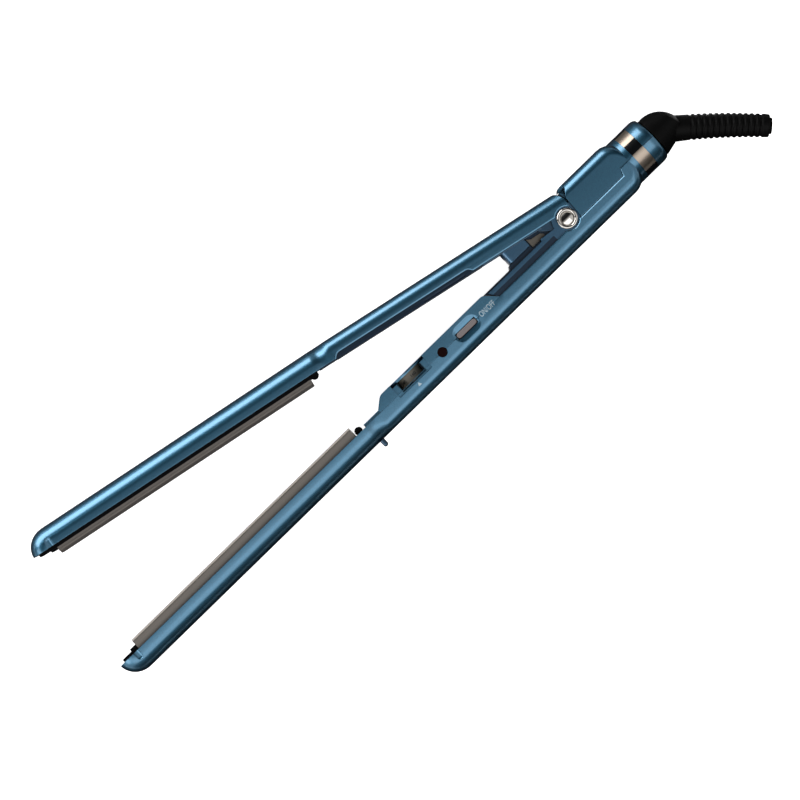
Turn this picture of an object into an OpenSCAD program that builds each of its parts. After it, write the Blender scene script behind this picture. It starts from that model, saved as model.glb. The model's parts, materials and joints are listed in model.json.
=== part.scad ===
// Hair crimper: two thin arms on one hinge, long ridged plates, thumb dial, push button and cord swivel.
// X runs along the lower arm with the tip at -X, Y is the closing direction and Z is the hinge axis.
// The tool lies on its side on Z = 0, and the origin is on the hinge axis.

/* [Arms] */
// Width of both arms, along the hinge axis
body_w = 22; // [21:0.5:25]
// Distance from the hinge axis to the tips
arm_reach = 265.2; // [258:0.2:280]
// Distance from the hinge axis to the neck, where plate section and handle meet
neck = 118; // [112:0.5:118]
// Wall of the moulded shells
wall = 1.6; // [1.2:0.1:1.8]
// Corner radius of the plate section
barrel_r = 6.5; // [5:0.25:7]
// Corner radius of the handle
handle_r = 5; // [4:0.25:5.5]
// Length of the rounded nose
nose_len = 9.4; // [8.6:0.2:11]
// Depth of the shallow waist in the neck's sides
waist = 0.8; // [0.2:0.1:0.9]
// Distance from the hinge axis to the lower arm's outer edge
lower_back = 12.35; // [12.2:0.05:13.5]
// Height of the lower shell, from its outer edge to its rim
lower_skirt = 8.8; // [8.4:0.1:9.1]
// Distance from the hinge axis to the upper arm's outer edge, at the hinge
upper_back = 11.75; // [11.6:0.05:12.6]
// Height of the upper shell, from its outer edge to its rim
upper_skirt = 8.85; // [7.9:0.05:9]
// Opening angle of the arms at rest
open_angle = 10.8; // [9:0.2:11]

/* [Plates] */
// Length of the plates
plate_len = 127; // [110:1:127]
// Distance from the tip to the plates
plate_inset = 11.2; // [11:0.2:14]
// Width of the plates
plate_w = 16.6; // [16.2:0.1:17]
// Height of the plates, from their back to the side rail
plate_h = 4.95; // [4.6:0.05:5.2]
// Distance between two crimping ridges
ridge_pitch = 3.5; // [3.2:0.1:3.7]
// Depth of the crimping wave
ridge_depth = 1.7; // [1:0.1:1.8]
// Gap between the two waves when the arms are closed
closed_gap = 0.55; // [0.5:0.05:1]
// Width of the ceramic heaters
heater_w = 10; // [8:0.5:12]

/* [Controls] */
// Distance from the hinge axis to the dial's axis
dial_x = 93; // [91:0.5:95]
// Diameter of the dial's knurled disc
disc_d = 18.3; // [17:0.1:18.4]
// Diameter of the dial's number drum
drum_d = 12; // [11:0.2:12.6]
// Height of the dial's number drum
drum_h = 3.9; // [3.5:0.1:4]
// Distance from the hinge axis to the indicator light
lens_x = 76.4; // [75:0.2:77]
// Diameter of the indicator light
lens_d = 4.2; // [3.4:0.1:4.4]
// Distance from the hinge axis to the push button
button_x = 62.2; // [61:0.2:63]
// Length of the push button
button_len = 10.1; // [8:0.1:10.4]
// Width of the push button
button_w = 1.9; // [1.6:0.1:2.2]
// Travel of the push button
button_travel = 0.5; // [0.3:0.05:0.6]

/* [Hinge] */
// Diameter of the hinge pin
pin_d = 4; // [3.4:0.1:4.4]
// Diameter of the hinge caps
cap_d = 9; // [8.4:0.1:9.2]
// Radius of the lower arm's hinge ears
ear_r = 6.8; // [6.4:0.1:7.2]
// Length of the guide post, along the arm
post_len = 11.9; // [10:0.1:12.4]
// Width of the guide post
post_w = 10.4; // [8:0.2:10.4]
// Wire of the opening spring
spring_wire = 1.2; // [1:0.05:1.3]
// Turns of the opening spring
spring_turns = 4; // [3:1:5]

/* [Tail and cord exit] */
// Distance from the hinge axis to the top of the rear cover
tail_top = 11.85; // [11.7:0.05:12.3]
// Distance from the hinge axis to the end of the collar
collar_end = 49.9; // [48.5:0.1:54]
// Diameter of the collar
collar_d = 21.9; // [21.6:0.1:22]
// Width of the band round the collar
band_w = 6; // [4:0.2:7]
// Diameter of the swivel's shaft
swivel_d = 10; // [9:0.2:11]
// Length of the rounded boot
boot_len = 13.6; // [12.6:0.2:15]
// Length of the ribbed sleeve
sleeve_len = 44.4; // [40:0.2:55]
// Sleeve diameter at the boot
sleeve_d0 = 11.4; // [10.8:0.1:11.6]
// Sleeve diameter at the mouth
sleeve_d1 = 9.8; // [9:0.1:10.4]
// Number of ribs on the sleeve
ribs = 13; // [8:1:14]
// Diameter of the cord that the sleeve's mouth takes
cord_d = 5.6; // [4.8:0.1:6]

/* [Hidden] */

// Colours
body_blue = [0.25, 0.42, 0.53];
dark_blue = [0.10, 0.20, 0.30];
titanium = [0.55, 0.51, 0.47];
chrome = [0.85, 0.84, 0.83];
steel = [0.50, 0.48, 0.45];
champagne = [0.78, 0.70, 0.62];
resin_black = [0.04, 0.04, 0.04];
brass = [0.78, 0.60, 0.28];
ceramic = [0.90, 0.88, 0.82];
board_green = [0.10, 0.35, 0.18];
pad_grey = [0.55, 0.56, 0.58];
lens_red = [0.25, 0.03, 0.03];

// Clearances
seat = 0.05;      // between pieces that seat on one another
seam = 0.2;       // parting line between two covers
running = 0.05;   // radial play of a turning fit
side_gap = 0.2;   // between parts that swing past one another
eps = 0.01;
past = 1;         // how far a cut runs past the surface that it opens

// Facets
corner_steps = 9;
nose_steps = 10;
blend_steps = 10;
round_steps = 5;

// Derived sizes shared by both arms
half_w = body_w / 2;
inner_half = half_w - wall;
blend = 5;                               // half length of the change of section at the neck
blend_slab = 0.5;
waist_swell = 1.2;                       // how much wider the corners are rounded in the waist
plate_x0 = -arm_reach + plate_inset;
plate_x1 = plate_x0 + plate_len;
lower_rim = lower_skirt - lower_back;
ridge_amp = ridge_depth / 2;
rail_groove = 0.15;                      // half height of the line scored along a plate's side
rail_groove_depth = 0.3;
pad_end = 22;                            // from a plate's end to the middle of its pad
wave_half = 7.75;                        // half width of the ridged field
groove_w = 3.05;                         // small groove in the sides of the nose
groove_h = 4.3;
groove_depth = 0.7;
groove_inset = 9.55;

// The lower wave's middle, and the rail beside it, measured from the hinge axis
lower_mid = 0.3;
rail_drop = 0.05;
lower_rail = lower_mid + rail_drop;
lower_scored = lower_rail - 0.27;
// The same two for the upper arm, in its mirrored frame with the arms closed
upper_mid = -lower_mid - closed_gap;
upper_rail = upper_mid - 0.25;
upper_scored = upper_rail - 1.1;
plate_depth = 13.5;                      // upper arm's outer edge to the crests of its wave
upper_front = plate_depth - (upper_mid + ridge_amp);
upper_rim = upper_skirt - upper_front;
upper_slope = atan((upper_front - upper_back) / neck);

// Plate tray
tray_half = inner_half - side_gap;
tray_floor = 1.1;
pad_h = 1.3;
tray_x0 = plate_x0 - 3.4;
tray_x1 = plate_x1 + 4.1;
tip_block_x0 = plate_x0 - 8.6;
tip_block_half = 6.5;
tip_low = 1.3;
tip_high = 2.3;
stop_r = 1.75;
stop_x = plate_x1 + 2.3;
fuse_r = 1.4;
fuse_len = 12;
fuse_x = (plate_x0 + plate_x1) / 2;
heater_h = 1.8;
heater_end = 5;                          // plate left bare of heater at each end

// Handle
handle_top = 1.76;
cover_x0 = -neck + blend + 0.4;
ramp_x0 = -112.8;
ramp_x1 = -107.9;
ramp_round = 1.4;                        // length over which the ramp's corners are eased
cover_x1 = -48.1;
cover_foot_x = -43.1;
cover_lip = -2.26;
tongue_x0 = -neck - 3.4;
dial_z = half_w - disc_d / 2 - 0.05;
disc_h = 1.2;
disc_top = handle_top - 0.1;
drum_top = disc_top - disc_h - seat;
drum_low = drum_top - drum_h;
spindle_d = 4;
pot_size = 9;
pot_top = drum_low - 1;
spindle_low = pot_top - 3.4;
dial_room = 0.35;                        // play round the dial's disc
recess_low = -4.97;
recess_depth = 0.7;
window_x = 6.65;                         // half length of the dial's window
window_low = -4.2;
window_top = 0.17;
control_y = lower_rim;                   // light and button sit on the parting line
dish_len = 13.7;
dish_w = 7.9;
dish_depth = 0.8;
slot_play = 0.5;
button_top = half_w - 0.1;
button_flange = 0.9;
flange_rim = 0.7;
flange_top = inner_half - 0.3;
board_z = 4;
board_t = 1.2;
board_x0 = -lens_x - 5.6;
board_x1 = -button_x + 8;
board_y0 = -9.6;
board_y1 = -1;
led_r = 1.5;
led_h = 1.8;
boss_r = 2.6;
screw_r = 1.1;
screw_head_r = 2.1;
screw_head_h = 0.9;
screw_sink = 1;
screw_front_x = -dial_x - 12.2;
screw_rear_x = cover_x1 - 4.2;
screw_low = -8.6;
cover_t = 1.6;

// Hinge
pin_r = pin_d / 2;
cap_r = cap_d / 2;
cap_room = 0.65;                         // dark ring left round the cap
cap_proud = 0.4;
cap_disc_r = 2.85;                       // domed disc inside the cap's ring
cap_dome = 0.7;
cap_groove = 0.9;
cap_round = 0.7;
ear_t = 1.8;
ear_out = inner_half - side_gap;
ear_in = ear_out - ear_t;
upper_ear_t = 1.6;
upper_ear_out = ear_in - side_gap;
upper_ear_in = upper_ear_out - upper_ear_t;
upper_ear_r = 6.5;
frame_x0 = cover_foot_x + 0.3;
frame_low = -8.3;
frame_floor = 1.2;
frame_top = 0.6;
knuckle_r = 2;
knuckle_x = -12;
knuckle_y = -0.7;
post_x0 = -30.6;
post_foot = 2.8;
post_r = 3;
post_room = 0.6;                         // between post and upper shell, arms closed
base_top = 1.4;
base_x1 = -11;
base_half = upper_ear_in - side_gap;
bracket_half = 5.2;
bracket_core = 4;
bracket_x0 = post_x0 + post_len + 0.4;
bracket_x1 = -11;
bracket_top = 5.75;
core_top = 8;
stop_boss_x = -8.3;
stop_boss_y = 1.9;
stop_boss_r = 1.5;
spring_r = pin_r + running + 1.3 + spring_wire / 2;
spring_pitch = spring_wire + 0.45;
spring_leg = 7.4;
spring_leg_angle = 143;                  // direction of the upper leg with the arms open
upper_wall_x1 = -11;
upper_step_x0 = -17.5;
frame_cut = 3.5;
spring_seat_x = -6.6;
spring_seat_low = 7.5;
spring_seat_top = 9.2;
upper_frame_x0 = -40;
upper_cover_x1 = upper_frame_x0 - side_gap;
liner_drop = 9.5;                        // upper arm's outer edge to the edge of its inner cover
liner_t = 1.5;
rear_x = 3.45;                           // upper arm's rear end, arms closed
rear_knee = 7.6;
rear_corner_x = 1.9;
rear_corner_y = 10.5;
skirt_notch = 1.75;
notch_x0 = -111;
notch_x1 = -46.5;
notch_slant = 1.85;
notch_round = 1;                         // length over which the notch's corners are eased
liner_screw_xs = [neck - 100, neck - 60];
liner_screw_turn = 35;
liner_groove_x = [neck - 69, neck - 48.5];
liner_groove_y = [8.35, 8.95];

// Tail
brow_x = 4.5;
brow_r = 3;
brow_half = 6.2;
tail_x0 = 4.8;
tail_knee_x = 5.5;
tail_knee_y = 6.65;
tail_chin_x = 8.2;
tail_chin_y = 10;
tail_corner = 7.5;
lip_h = 1.1;
lip_t = 1.1;
shoulder_x = 36.4;
seam_step_x = 29.2;
collar_r = collar_d / 2;
collar_y = -0.3;
collar_bore = collar_r - wall - 0.15;
collar_end_round = 3;
collar_end_drop = 1.5;
collar_seam = -0.33;
band_x1 = collar_end - 6.2;
band_x0 = band_x1 - band_w;
band_t = 0.75;
inlay_t = 0.4;
badge_arc = [25, 64];
cuff_arc = [89, 142];
bearing_x1 = collar_end - 1.4;
bearing_x0 = bearing_x1 - 4;
swivel_r = swivel_d / 2;
flange_r = 7.5;
ring_r = 3.6;
ring_w = 1;
ring_xs = [bearing_x0 - 9.2, bearing_x0 - 6.4];
brush_arc = 36;
lead_r = 0.7;
lead_half = 4.5;                         // half distance between the supply leads
lead_start = frame_x0 - 6;

// Boot and sleeve
boot_x0 = collar_end + 0.3;
boot_r = 9.7;
boot_drop = 0.25;
boot_taper = 0.24;
dome_r = 11.8;
dome_lean = 3.1;
sleeve_angle0 = -37.7;                   // direction of the sleeve where it leaves the boot
sleeve_bend = -9;                        // turn of the sleeve along its length
sleeve_start = [boot_x0 + 5.95, collar_y - 1.36];
sleeve_seat = 2;
sleeve_smooth = 10.5;
rib_depth = 0.45;
mouth_len = 1;
mouth_d = cord_d + 1.4;
bore_len = 12;
sleeve_sides = 16;

// ---------------------------------------------------------------- helpers

// Raises the centred model so that it lies on Z = 0
module laid() translate([0, 0, half_w]) children();

// Mirrors the children about the middle plane
module both_sides() {
    children();
    mirror([0, 0, 1]) children();
}

// Places the upper arm, drawn mirrored with its arms closed, in its open pose
module upper_pose() laid() rotate([0, 0, -open_angle]) mirror([0, 1, 0]) children();

// Extrudes a (Y, Z) profile from x0 to x1
module along_x(x0, x1) translate([x0, 0, 0]) rotate([90, 0, 90]) linear_extrude(x1 - x0) children();

// Extrudes an (X, Z) profile from y0 to y1
module along_y(y0, y1) translate([0, y1, 0]) rotate([90, 0, 0]) linear_extrude(y1 - y0) children();

// Extrudes an (X, Y) profile from z0 to z1
module along_z(z0, z1) translate([0, 0, z0]) linear_extrude(z1 - z0) children();

// Box between two corners
module block(a, b) translate(a) cube(b - a);

// Cylinder along X, Y or Z between two stations
module rod_x(x0, x1, r, y = 0, z = 0, fn = 48)
    translate([x0, y, z]) rotate([0, 90, 0]) cylinder(h = x1 - x0, r = r, $fn = fn);
module rod_y(y0, y1, r, x = 0, z = 0, fn = 48)
    translate([x, y1, z]) rotate([90, 0, 0]) cylinder(h = y1 - y0, r = r, $fn = fn);
module rod_z(z0, z1, r, x = 0, y = 0, fn = 48)
    translate([x, y, z0]) cylinder(h = z1 - z0, r = r, $fn = fn);

// Ring round the X axis through (collar_y), between two radii, over an arc measured from +Y towards +Z
module ring_x(x0, x1, r0, r1, from = 0, span = 360)
    translate([0, collar_y, 0]) rotate([from, 0, 0]) rotate([0, 90, 0]) rotate([0, 0, 90])
        rotate_extrude(angle = span, $fn = 72) translate([r0, x0]) square([r1 - r0, x1 - x0]);

// Round-bottomed hollow sunk by d into the near face, w wide, between the centres a and b of its ends
module scoop(a, b, w, d, fn) {
    r = (w * w / 4 + d * d) / (2 * d);
    reach = min(85, 1.25 * asin(w / 2 / r));
    run = norm(b - a);
    translate([a[0], a[1], half_w - d + r]) rotate([0, 0, atan2(b[1] - a[1], b[0] - a[0])])
        rotate([0, 90, 0]) rotate_extrude($fn = fn) polygon(concat(
            [[0, -r * sin(reach)]],
            arc_points([0, 0], r, r, -reach, 0, 6),
            arc_points([0, run], r, r, 0, reach, 6),
            [[0, run + r * sin(reach)]]));
}

// Points that ease the corner q between p and s, starting and ending r away from it
function toward(q, p, r) = q + r * (p - q) / norm(p - q);
function eased(p, q, s, r) =
    let (a = toward(q, p, r), b = toward(q, s, r))
    [for (i = [0:round_steps]) let (t = i / round_steps)
        (1 - t) * (1 - t) * a + 2 * t * (1 - t) * q + t * t * b];

function arc_points(c, rx, ry, a0, a1, n) =
    [for (i = [0:n]) let (a = a0 + (a1 - a0) * i / n) [c[0] + rx * cos(a), c[1] + ry * sin(a)]];

// Side outline of the plate section: round nose and straight outer edge, drawn in by the inset
function barrel_outline(back, skirt, inset, over) = concat(
    arc_points([-arm_reach + nose_len, skirt - back], nose_len - inset, skirt - inset, 180, 270, nose_steps),
    [
        [-neck - blend, -back + inset],
        [-neck - blend, skirt - back + over],
        [-arm_reach + inset, skirt - back + over]
    ]);

// Steps of a rounded corner: how far the outer edge and the side are drawn in
function corner_steps_of(r) =
    [for (i = [0:corner_steps]) let (a = 90 * i / corner_steps) [r * (1 - sin(a)), r * (1 - cos(a))]];

// Cross-section of an arm, open towards its rim, in (Y, Z) with Y from the outer edge
function arm_section(skirt, inset, r, over, h) =
    let (c = corner_steps_of(r - inset))
    concat(
        [[skirt + over, h]],
        [for (p = c) [inset + p[0], h - p[1]]],
        [for (i = [corner_steps:-1:0]) [inset + c[i][0], c[i][1] - h]],
        [[skirt + over, -h]]);

// Frame of a handle: origin on the outer edge at the neck, X along the handle
module handle_frame(back, slope) translate([-neck, -back, 0]) rotate([0, 0, slope]) children();

// Station of the neck, u = 0 at the plate section and u = 1 at the handle: the outer edge bends through
// the slope, the corners ease from one radius to the other and the sides draw in to the waist
function arm_ring(at, angle, section) =
    [for (p = section) [at[0] - p[0] * sin(angle), at[1] + p[0] * cos(angle), p[1]]];
function neck_ring(u, back, skirt, slope, inset, over) =
    let (rise = tan(slope),
         bell = (1 - cos(360 * u)) / 2,
         r = barrel_r + (handle_r - barrel_r) * u * u * (3 - 2 * u) + waist_swell * bell)
    arm_ring([-neck - blend + 2 * blend * u, rise * blend * u * u - back], atan(rise * u),
             arm_section(skirt, inset, r, over, half_w - inset - waist * bell));

// Solid of an arm from nose to x_end, drawn in by the inset for the hollow
module arm_solid(back, skirt, slope, x_end, inset, over) {
    hull() for (c = corner_steps_of(barrel_r - inset))
        along_z(c[1] + inset - half_w, half_w - inset - c[1])
            polygon(barrel_outline(back, skirt, inset + c[0], over));
    tail = neck + x_end;
    skin(concat(
        [arm_ring([-neck - blend - blend_slab, -back], 0,
                  arm_section(skirt, inset, barrel_r, over, half_w - inset))],
        [for (i = [0:blend_steps]) neck_ring(i / blend_steps, back, skirt, slope, inset, over)],
        [arm_ring([-neck + tail * cos(slope), tail * sin(slope) - back], slope,
                  arm_section(skirt, inset, handle_r, over, half_w - inset))]));
}

// Shell of an arm with the small grooves of its nose
module arm_shell(back, skirt, slope, x_end, hollow_end) difference() {
    arm_solid(back, skirt, slope, x_end, 0, 0);
    arm_solid(back, skirt, slope, hollow_end, wall, past);
    both_sides() scoop([groove_inset - arm_reach, skirt - back + groove_w / 2 - groove_h],
                       [groove_inset - arm_reach, skirt - back + past], groove_w, groove_depth, 72);
}

// Section of a box in (Y, Z) whose low corners are cut to clear the rounded corners of a shell
function channel_section(low, top, half, cut) = [
    [top, -half], [low + cut, -half], [low, -half + 0.8 * cut],
    [low, half - 0.8 * cut], [low + cut, half], [top, half]];

// Black tray of a plate: lip is how far its edge stands past the shell's rim
module plate_tray(rim, lip) {
    floor_low = rim - 1.05 - pad_h - tray_floor;
    difference() {
        union() {
            along_x(tray_x0, tray_x1) polygon(channel_section(floor_low, rim + lip, tray_half, 2));
            block([tip_block_x0, rim - 1.6, -tip_block_half], [tray_x0 + eps, rim + tip_low, tip_block_half]);
            block([tray_x0, rim, -tip_block_half], [plate_x0 - 0.3, rim + tip_high, tip_block_half]);
            rod_z(-tip_block_half, tip_block_half, stop_r, stop_x, rim + 0.88, 32);
        }
        block([plate_x0 - seat, floor_low + tray_floor, -plate_w / 2 - seat],
              [plate_x1 + seat, rim + tip_high + past, plate_w / 2 + seat]);
        block([fuse_x - fuse_len / 2 - 1, floor_low - past, -fuse_r - 0.5],
              [fuse_x + fuse_len / 2 + 1, rim, fuse_r + 0.5]);
    }
}

// Ridged plate: a wave of lengthwise ridges between two side rails, over a pocket for the heater
function wave_points(mid, sign) =
    [for (i = [-18:18]) let (z = wave_half * i / 18)
        [mid + sign * ridge_amp * cos(360 * z / ridge_pitch), z]];

module ridged_plate(rim, mid, rail, sign, scored) {
    base = rim - 1.05;
    w = plate_w / 2;
    difference() {
        along_x(plate_x0, plate_x1) polygon(concat(
            [[base, -w], [rail, -w], [rail, -wave_half - 0.1]],
            wave_points(mid, sign),
            [[rail, wave_half + 0.1], [rail, w], [base, w]]));
        block([plate_x0 + heater_end, base - past, -heater_w / 2 - seat],
              [plate_x1 - heater_end, base + heater_h + seat, heater_w / 2 + seat]);
        both_sides() block([plate_x0 - past, scored - rail_groove, w - rail_groove_depth],
                           [plate_x1 + past, scored + rail_groove, w + past]);
    }
}

module heater_bar(rim) block(
    [plate_x0 + heater_end + seat, rim - 1.05, -heater_w / 2],
    [plate_x1 - heater_end - seat, rim - 1.05 + heater_h, heater_w / 2]);

module plate_pads(rim) for (x = [plate_x0 + pad_end, plate_x1 - pad_end])
    block([x - 6, rim - 1.05 - pad_h, -plate_w / 2 + 1], [x + 6, rim - 1.05, plate_w / 2 - 1]);

// Cheese-head screw standing along +Y, head at the top
module screw_y(x, y_low, y_top, slot_turn) difference() {
    union() {
        rod_y(y_low, y_top - screw_head_h + eps, screw_r, x, 0, 24);
        rod_y(y_top - screw_head_h, y_top, screw_head_r, x, 0, 32);
    }
    translate([x, y_top, 0]) rotate([0, slot_turn, 0]) for (a = [0, 90]) rotate([0, a, 0])
        block([-1.3, -0.5, -0.3], [1.3, past, 0.3]);
}

// Solid of the tail: a box with rounded long edges and a rounded rear end, and the collar that leaves it
module tail_solid(inset) {
    hull() for (c = corner_steps_of(handle_r - inset)) {
        d = inset + c[0];
        r = tail_corner - inset;
        along_z(c[1] + inset - half_w, half_w - inset - c[1]) polygon(concat(
            [[tail_x0 - past, tail_top - d], [tail_x0 - past, d - lower_back]],
            arc_points([shoulder_x - tail_corner, d + r - lower_back], r - 0.3 * c[0], r, 270, 360, 6),
            arc_points([shoulder_x - tail_corner, tail_top - d - r], r - 0.3 * c[0], r, 0, 90, 6)));
    }
    r = inset > 0 ? collar_bore : collar_r;
    drop = inset > 0 ? 0 : collar_end_drop;
    translate([0, collar_y, 0]) rotate([0, 90, 0]) rotate_extrude($fn = 72) polygon(concat(
        [[0, shoulder_x - tail_corner], [r, shoulder_x - tail_corner]],
        arc_points([r - drop, collar_end - collar_end_round], drop, collar_end_round, 0, 90, 5),
        [[r - drop, collar_end + (inset > 0 ? past : 0)], [0, collar_end + (inset > 0 ? past : 0)]]));
}

// The parting line of the tail, as the side view's area above or below it. The upper area starts with
// the slanted chin of the cover's sides.
module tail_area(upper) {
    g = upper ? seam / 2 : -seam / 2;
    edge = [
        [seam_step_x, lower_rim + g], [seam_step_x + 1, collar_seam + g],
        [collar_end + past, collar_seam + g]];
    far_y = upper ? 30 : -30;
    front = upper
        ? [[tail_chin_x, far_y], [tail_chin_x, tail_chin_y], [tail_knee_x, tail_knee_y],
           [tail_x0, lower_rim + g]]
        : [[tail_x0, far_y], [tail_x0, lower_rim + g]];
    polygon(concat(front, edge, [[collar_end + past, far_y]]));
}

// The middle of the cover's top wall, which runs forward over the hinge to a rounded end
module brow_area() polygon(concat(
    [[seam_step_x, tail_top + past], [seam_step_x, collar_y], [brow_x, collar_y]],
    arc_points([brow_x + brow_r, tail_top - brow_r], brow_r, brow_r, 180, 90, 6),
    [[brow_x + brow_r, tail_top + past]]));

module tail_shell(upper) difference() {
    intersection() {
        tail_solid(0);
        union() {
            along_z(-half_w, half_w) tail_area(upper);
            if (upper) along_z(-brow_half, brow_half) brow_area();
        }
    }
    tail_solid(wall);
    ring_x(band_x0 - seat, band_x1 + seat, collar_r - band_t, collar_r + past);
}

// Openings that the lower shell and the control cover share on the near side
module control_openings() {
    dish_run = (dish_len - dish_w) / 2;
    scoop([-button_x - dish_run, control_y], [-button_x + dish_run, control_y], dish_w, dish_depth, 144);
    translate([-button_x, control_y, 0]) along_z(inner_half - past, half_w)
        square([button_len + 2 * slot_play, button_w + 2 * slot_play], center = true);
    rod_z(inner_half - past, half_w + past, lens_d / 2 + seat, -lens_x, control_y, 40);
    block([-dial_x - disc_d / 2, recess_low, half_w - recess_depth],
          [-dial_x + disc_d / 2, handle_top + past, half_w + past]);
    block([-dial_x - window_x, window_low, inner_half - past],
          [-dial_x + window_x, window_top, half_w + past]);
}

// ---------------------------------------------------------------- lower arm

module lower_housing() color(body_blue) laid() {
    difference() {
        union() {
            arm_shell(lower_back, lower_skirt, 0, tail_x0, tail_x0 + past);
            tail_shell(false);
        }
        both_sides() rod_z(inner_half - past, half_w + past, cap_r + cap_room);
        control_openings();
    }
    // Bosses for the cover's screws, the frame and the circuit board
    for (x = [screw_front_x, screw_rear_x]) difference() {
        rod_y(wall - lower_back - eps, screw_low + 3, boss_r, x, 0, 32);
        rod_y(screw_low - 0.3, screw_low + 3 + past, screw_r + seat, x, 0, 24);
    }
    for (x = [frame_x0 + 5, -6]) rod_y(wall - lower_back - eps, frame_low, boss_r, x, 0, 32);
    for (x = [board_x0 + 2.5, board_x1 - 2.5])
        rod_z(-inner_half - eps, board_z, 1.6, x, board_y0 + 2.2, 24);
}

module control_cover() color(body_blue) laid() difference() {
    union() {
        along_z(-half_w, half_w) polygon(concat(
            [[cover_x0, lower_rim + seam / 2], [cover_x0, cover_lip]],
            [[ramp_x0, cover_lip]],
            eased([ramp_x0, cover_lip], [ramp_x1, handle_top], [cover_x1, handle_top], ramp_round),
            eased([ramp_x1, handle_top], [cover_x1, handle_top], [cover_foot_x, lower_rim], ramp_round),
            [[cover_foot_x, lower_rim + seam / 2]]));
        block([tongue_x0, lower_rim - 1, -tray_half + 1], [cover_x0 + eps, cover_lip, tray_half - 1]);
    }
    along_z(-inner_half, inner_half) polygon([
        [ramp_x0 + 0.6, lower_rim - 2], [ramp_x0 + 0.6, cover_lip - cover_t / 2],
        [ramp_x1 + 0.6, handle_top - cover_t], [cover_x1 - 1.4, handle_top - cover_t],
        [cover_foot_x - 1.4, lower_rim - 2]]);
    // Seat of the dial's disc, open towards the near side
    rod_y(disc_top - disc_h - dial_room, handle_top + past, disc_d / 2 + dial_room, -dial_x, dial_z, 72);
    block([-dial_x - disc_d / 2, disc_top - disc_h - dial_room, dial_z],
          [-dial_x + disc_d / 2, handle_top + past, half_w + past]);
    control_openings();
    for (x = [screw_front_x, screw_rear_x]) {
        rod_y(handle_top - screw_sink, handle_top + past, screw_head_r + 0.15, x, 0, 32);
        rod_y(lower_rim - 2, handle_top + past, screw_r + 0.15, x, 0, 24);
    }
}

// Nose under the brow: the stop that the upper arm's rear end comes to rest against
module brow_nose() along_z(-brow_half, brow_half) polygon([
    [brow_x + 0.3, tail_top - wall - 0.3], [brow_x + 0.7, 8.6], [brow_x + 1, 7], [brow_x + 3, 7],
    [brow_x + 5, tail_top - wall + eps], [brow_x + 2, tail_top - wall + eps]]);

// Lip behind a parting line: from a start point to an end station, inside a wall
module lip(start, x_end, wall_z) {
    block([start[0], start[1] - lip_h, wall_z - lip_t], [x_end, start[1] + lip_h, wall_z - seat]);
    block([start[0], start[1] + seam, wall_z - lip_t], [x_end, start[1] + lip_h, wall_z + 0.2]);
}

module rear_cover() color(body_blue) laid() {
    tail_shell(true);
    brow_nose();
    // Lips that overlap the lower shell inside the parting line
    both_sides() {
        lip([ear_r + side_gap, lower_rim], seam_step_x - 1, inner_half);
        lip([seam_step_x + 1.2, collar_seam], bearing_x0 - side_gap, collar_bore - 0.1);
    }
}

module lower_holder() color(resin_black) laid() plate_tray(lower_rim, -0.15);

module lower_plate() color(titanium) laid() ridged_plate(lower_rim, lower_mid, lower_rail, 1, lower_scored);

module lower_heater() color(ceramic) laid() heater_bar(lower_rim);

module lower_pads() color(pad_grey) laid() plate_pads(lower_rim);

module thermal_fuse() color(steel) laid()
    rod_x(fuse_x - fuse_len / 2, fuse_x + fuse_len / 2, fuse_r, lower_rim - 1.05 - fuse_r - seat, 0, 24);

// Inner frame with both hinge ears and a rounded knuckle in front of each
module hinge_frame() color(dark_blue) laid() {
    both_sides() difference() {
        along_z(ear_in, ear_out) {
            polygon([
                [frame_x0 - 4, frame_low], [frame_x0, lower_rim], [frame_x0 - 3, frame_top],
                [knuckle_x - knuckle_r - 0.4, frame_top], [knuckle_x - knuckle_r, frame_top + 1], [0, 0],
                [ear_r, 0], [ear_r, frame_low]]);
            translate([knuckle_x, knuckle_y]) circle(r = knuckle_r, $fn = 40);
            circle(r = ear_r, $fn = 96);
        }
        rod_z(0, half_w, pin_r + eps);
    }
    block([frame_x0 - 4, frame_low, -ear_in - eps], [ear_r - 1, frame_low + frame_floor, ear_in + eps]);
}

// Block between the frame's walls: foot of the post, core of the bracket and stop in front of the spring
module post_base() color(resin_black) laid() {
    along_z(-base_half, base_half) polygon([
        [cover_foot_x + 0.5, frame_low + frame_floor], [cover_foot_x + 0.5, lower_rim],
        [cover_x1 + 0.85, base_top],
        [post_x0 - 1.5, base_top], [post_x0 - 0.5, post_foot], [post_x0 + post_len, post_foot],
        [post_x0 + post_len, base_top], [base_x1, base_top], [base_x1, frame_low + frame_floor]]);
    along_z(-bracket_core, bracket_core) {
        polygon([
            [post_x0 + post_len + seat, base_top - past], [post_x0 + post_len + seat, core_top],
            [bracket_x1 - 1.5, core_top - 0.9], [stop_boss_x - 0.6, stop_boss_y + 2.6],
            [stop_boss_x + 0.6, stop_boss_y + 0.5], [stop_boss_x, stop_boss_y - stop_boss_r],
            [base_x1, base_top - past]]);
        translate([stop_boss_x, stop_boss_y]) circle(r = stop_boss_r, $fn = 40);
    }
}

// Inner face of the upper shell with the arms closed, as height over X
function closed_ceiling(x) = upper_back - wall - x * tan(upper_slope);

module guide_post() color(body_blue) laid() difference() {
    along_y(post_foot, closed_ceiling(post_x0)) {
        translate([post_x0 + post_r, -post_w / 2]) square([post_len - post_r, post_w]);
        translate([post_x0, -post_w / 2 + post_r]) square([post_len, post_w - 2 * post_r]);
        for (s = [-1, 1]) translate([post_x0 + post_r, s * (post_w / 2 - post_r)])
            circle(r = post_r, $fn = 48);
    }
    along_z(-half_w, half_w) polygon([
        [post_x0 - past, closed_ceiling(post_x0 - past) - post_room],
        [post_x0 + post_len + past, closed_ceiling(post_x0 + post_len + past) - post_room],
        [post_x0 + post_len + past, tail_top + past], [post_x0 - past, tail_top + past]]);
}

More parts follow.
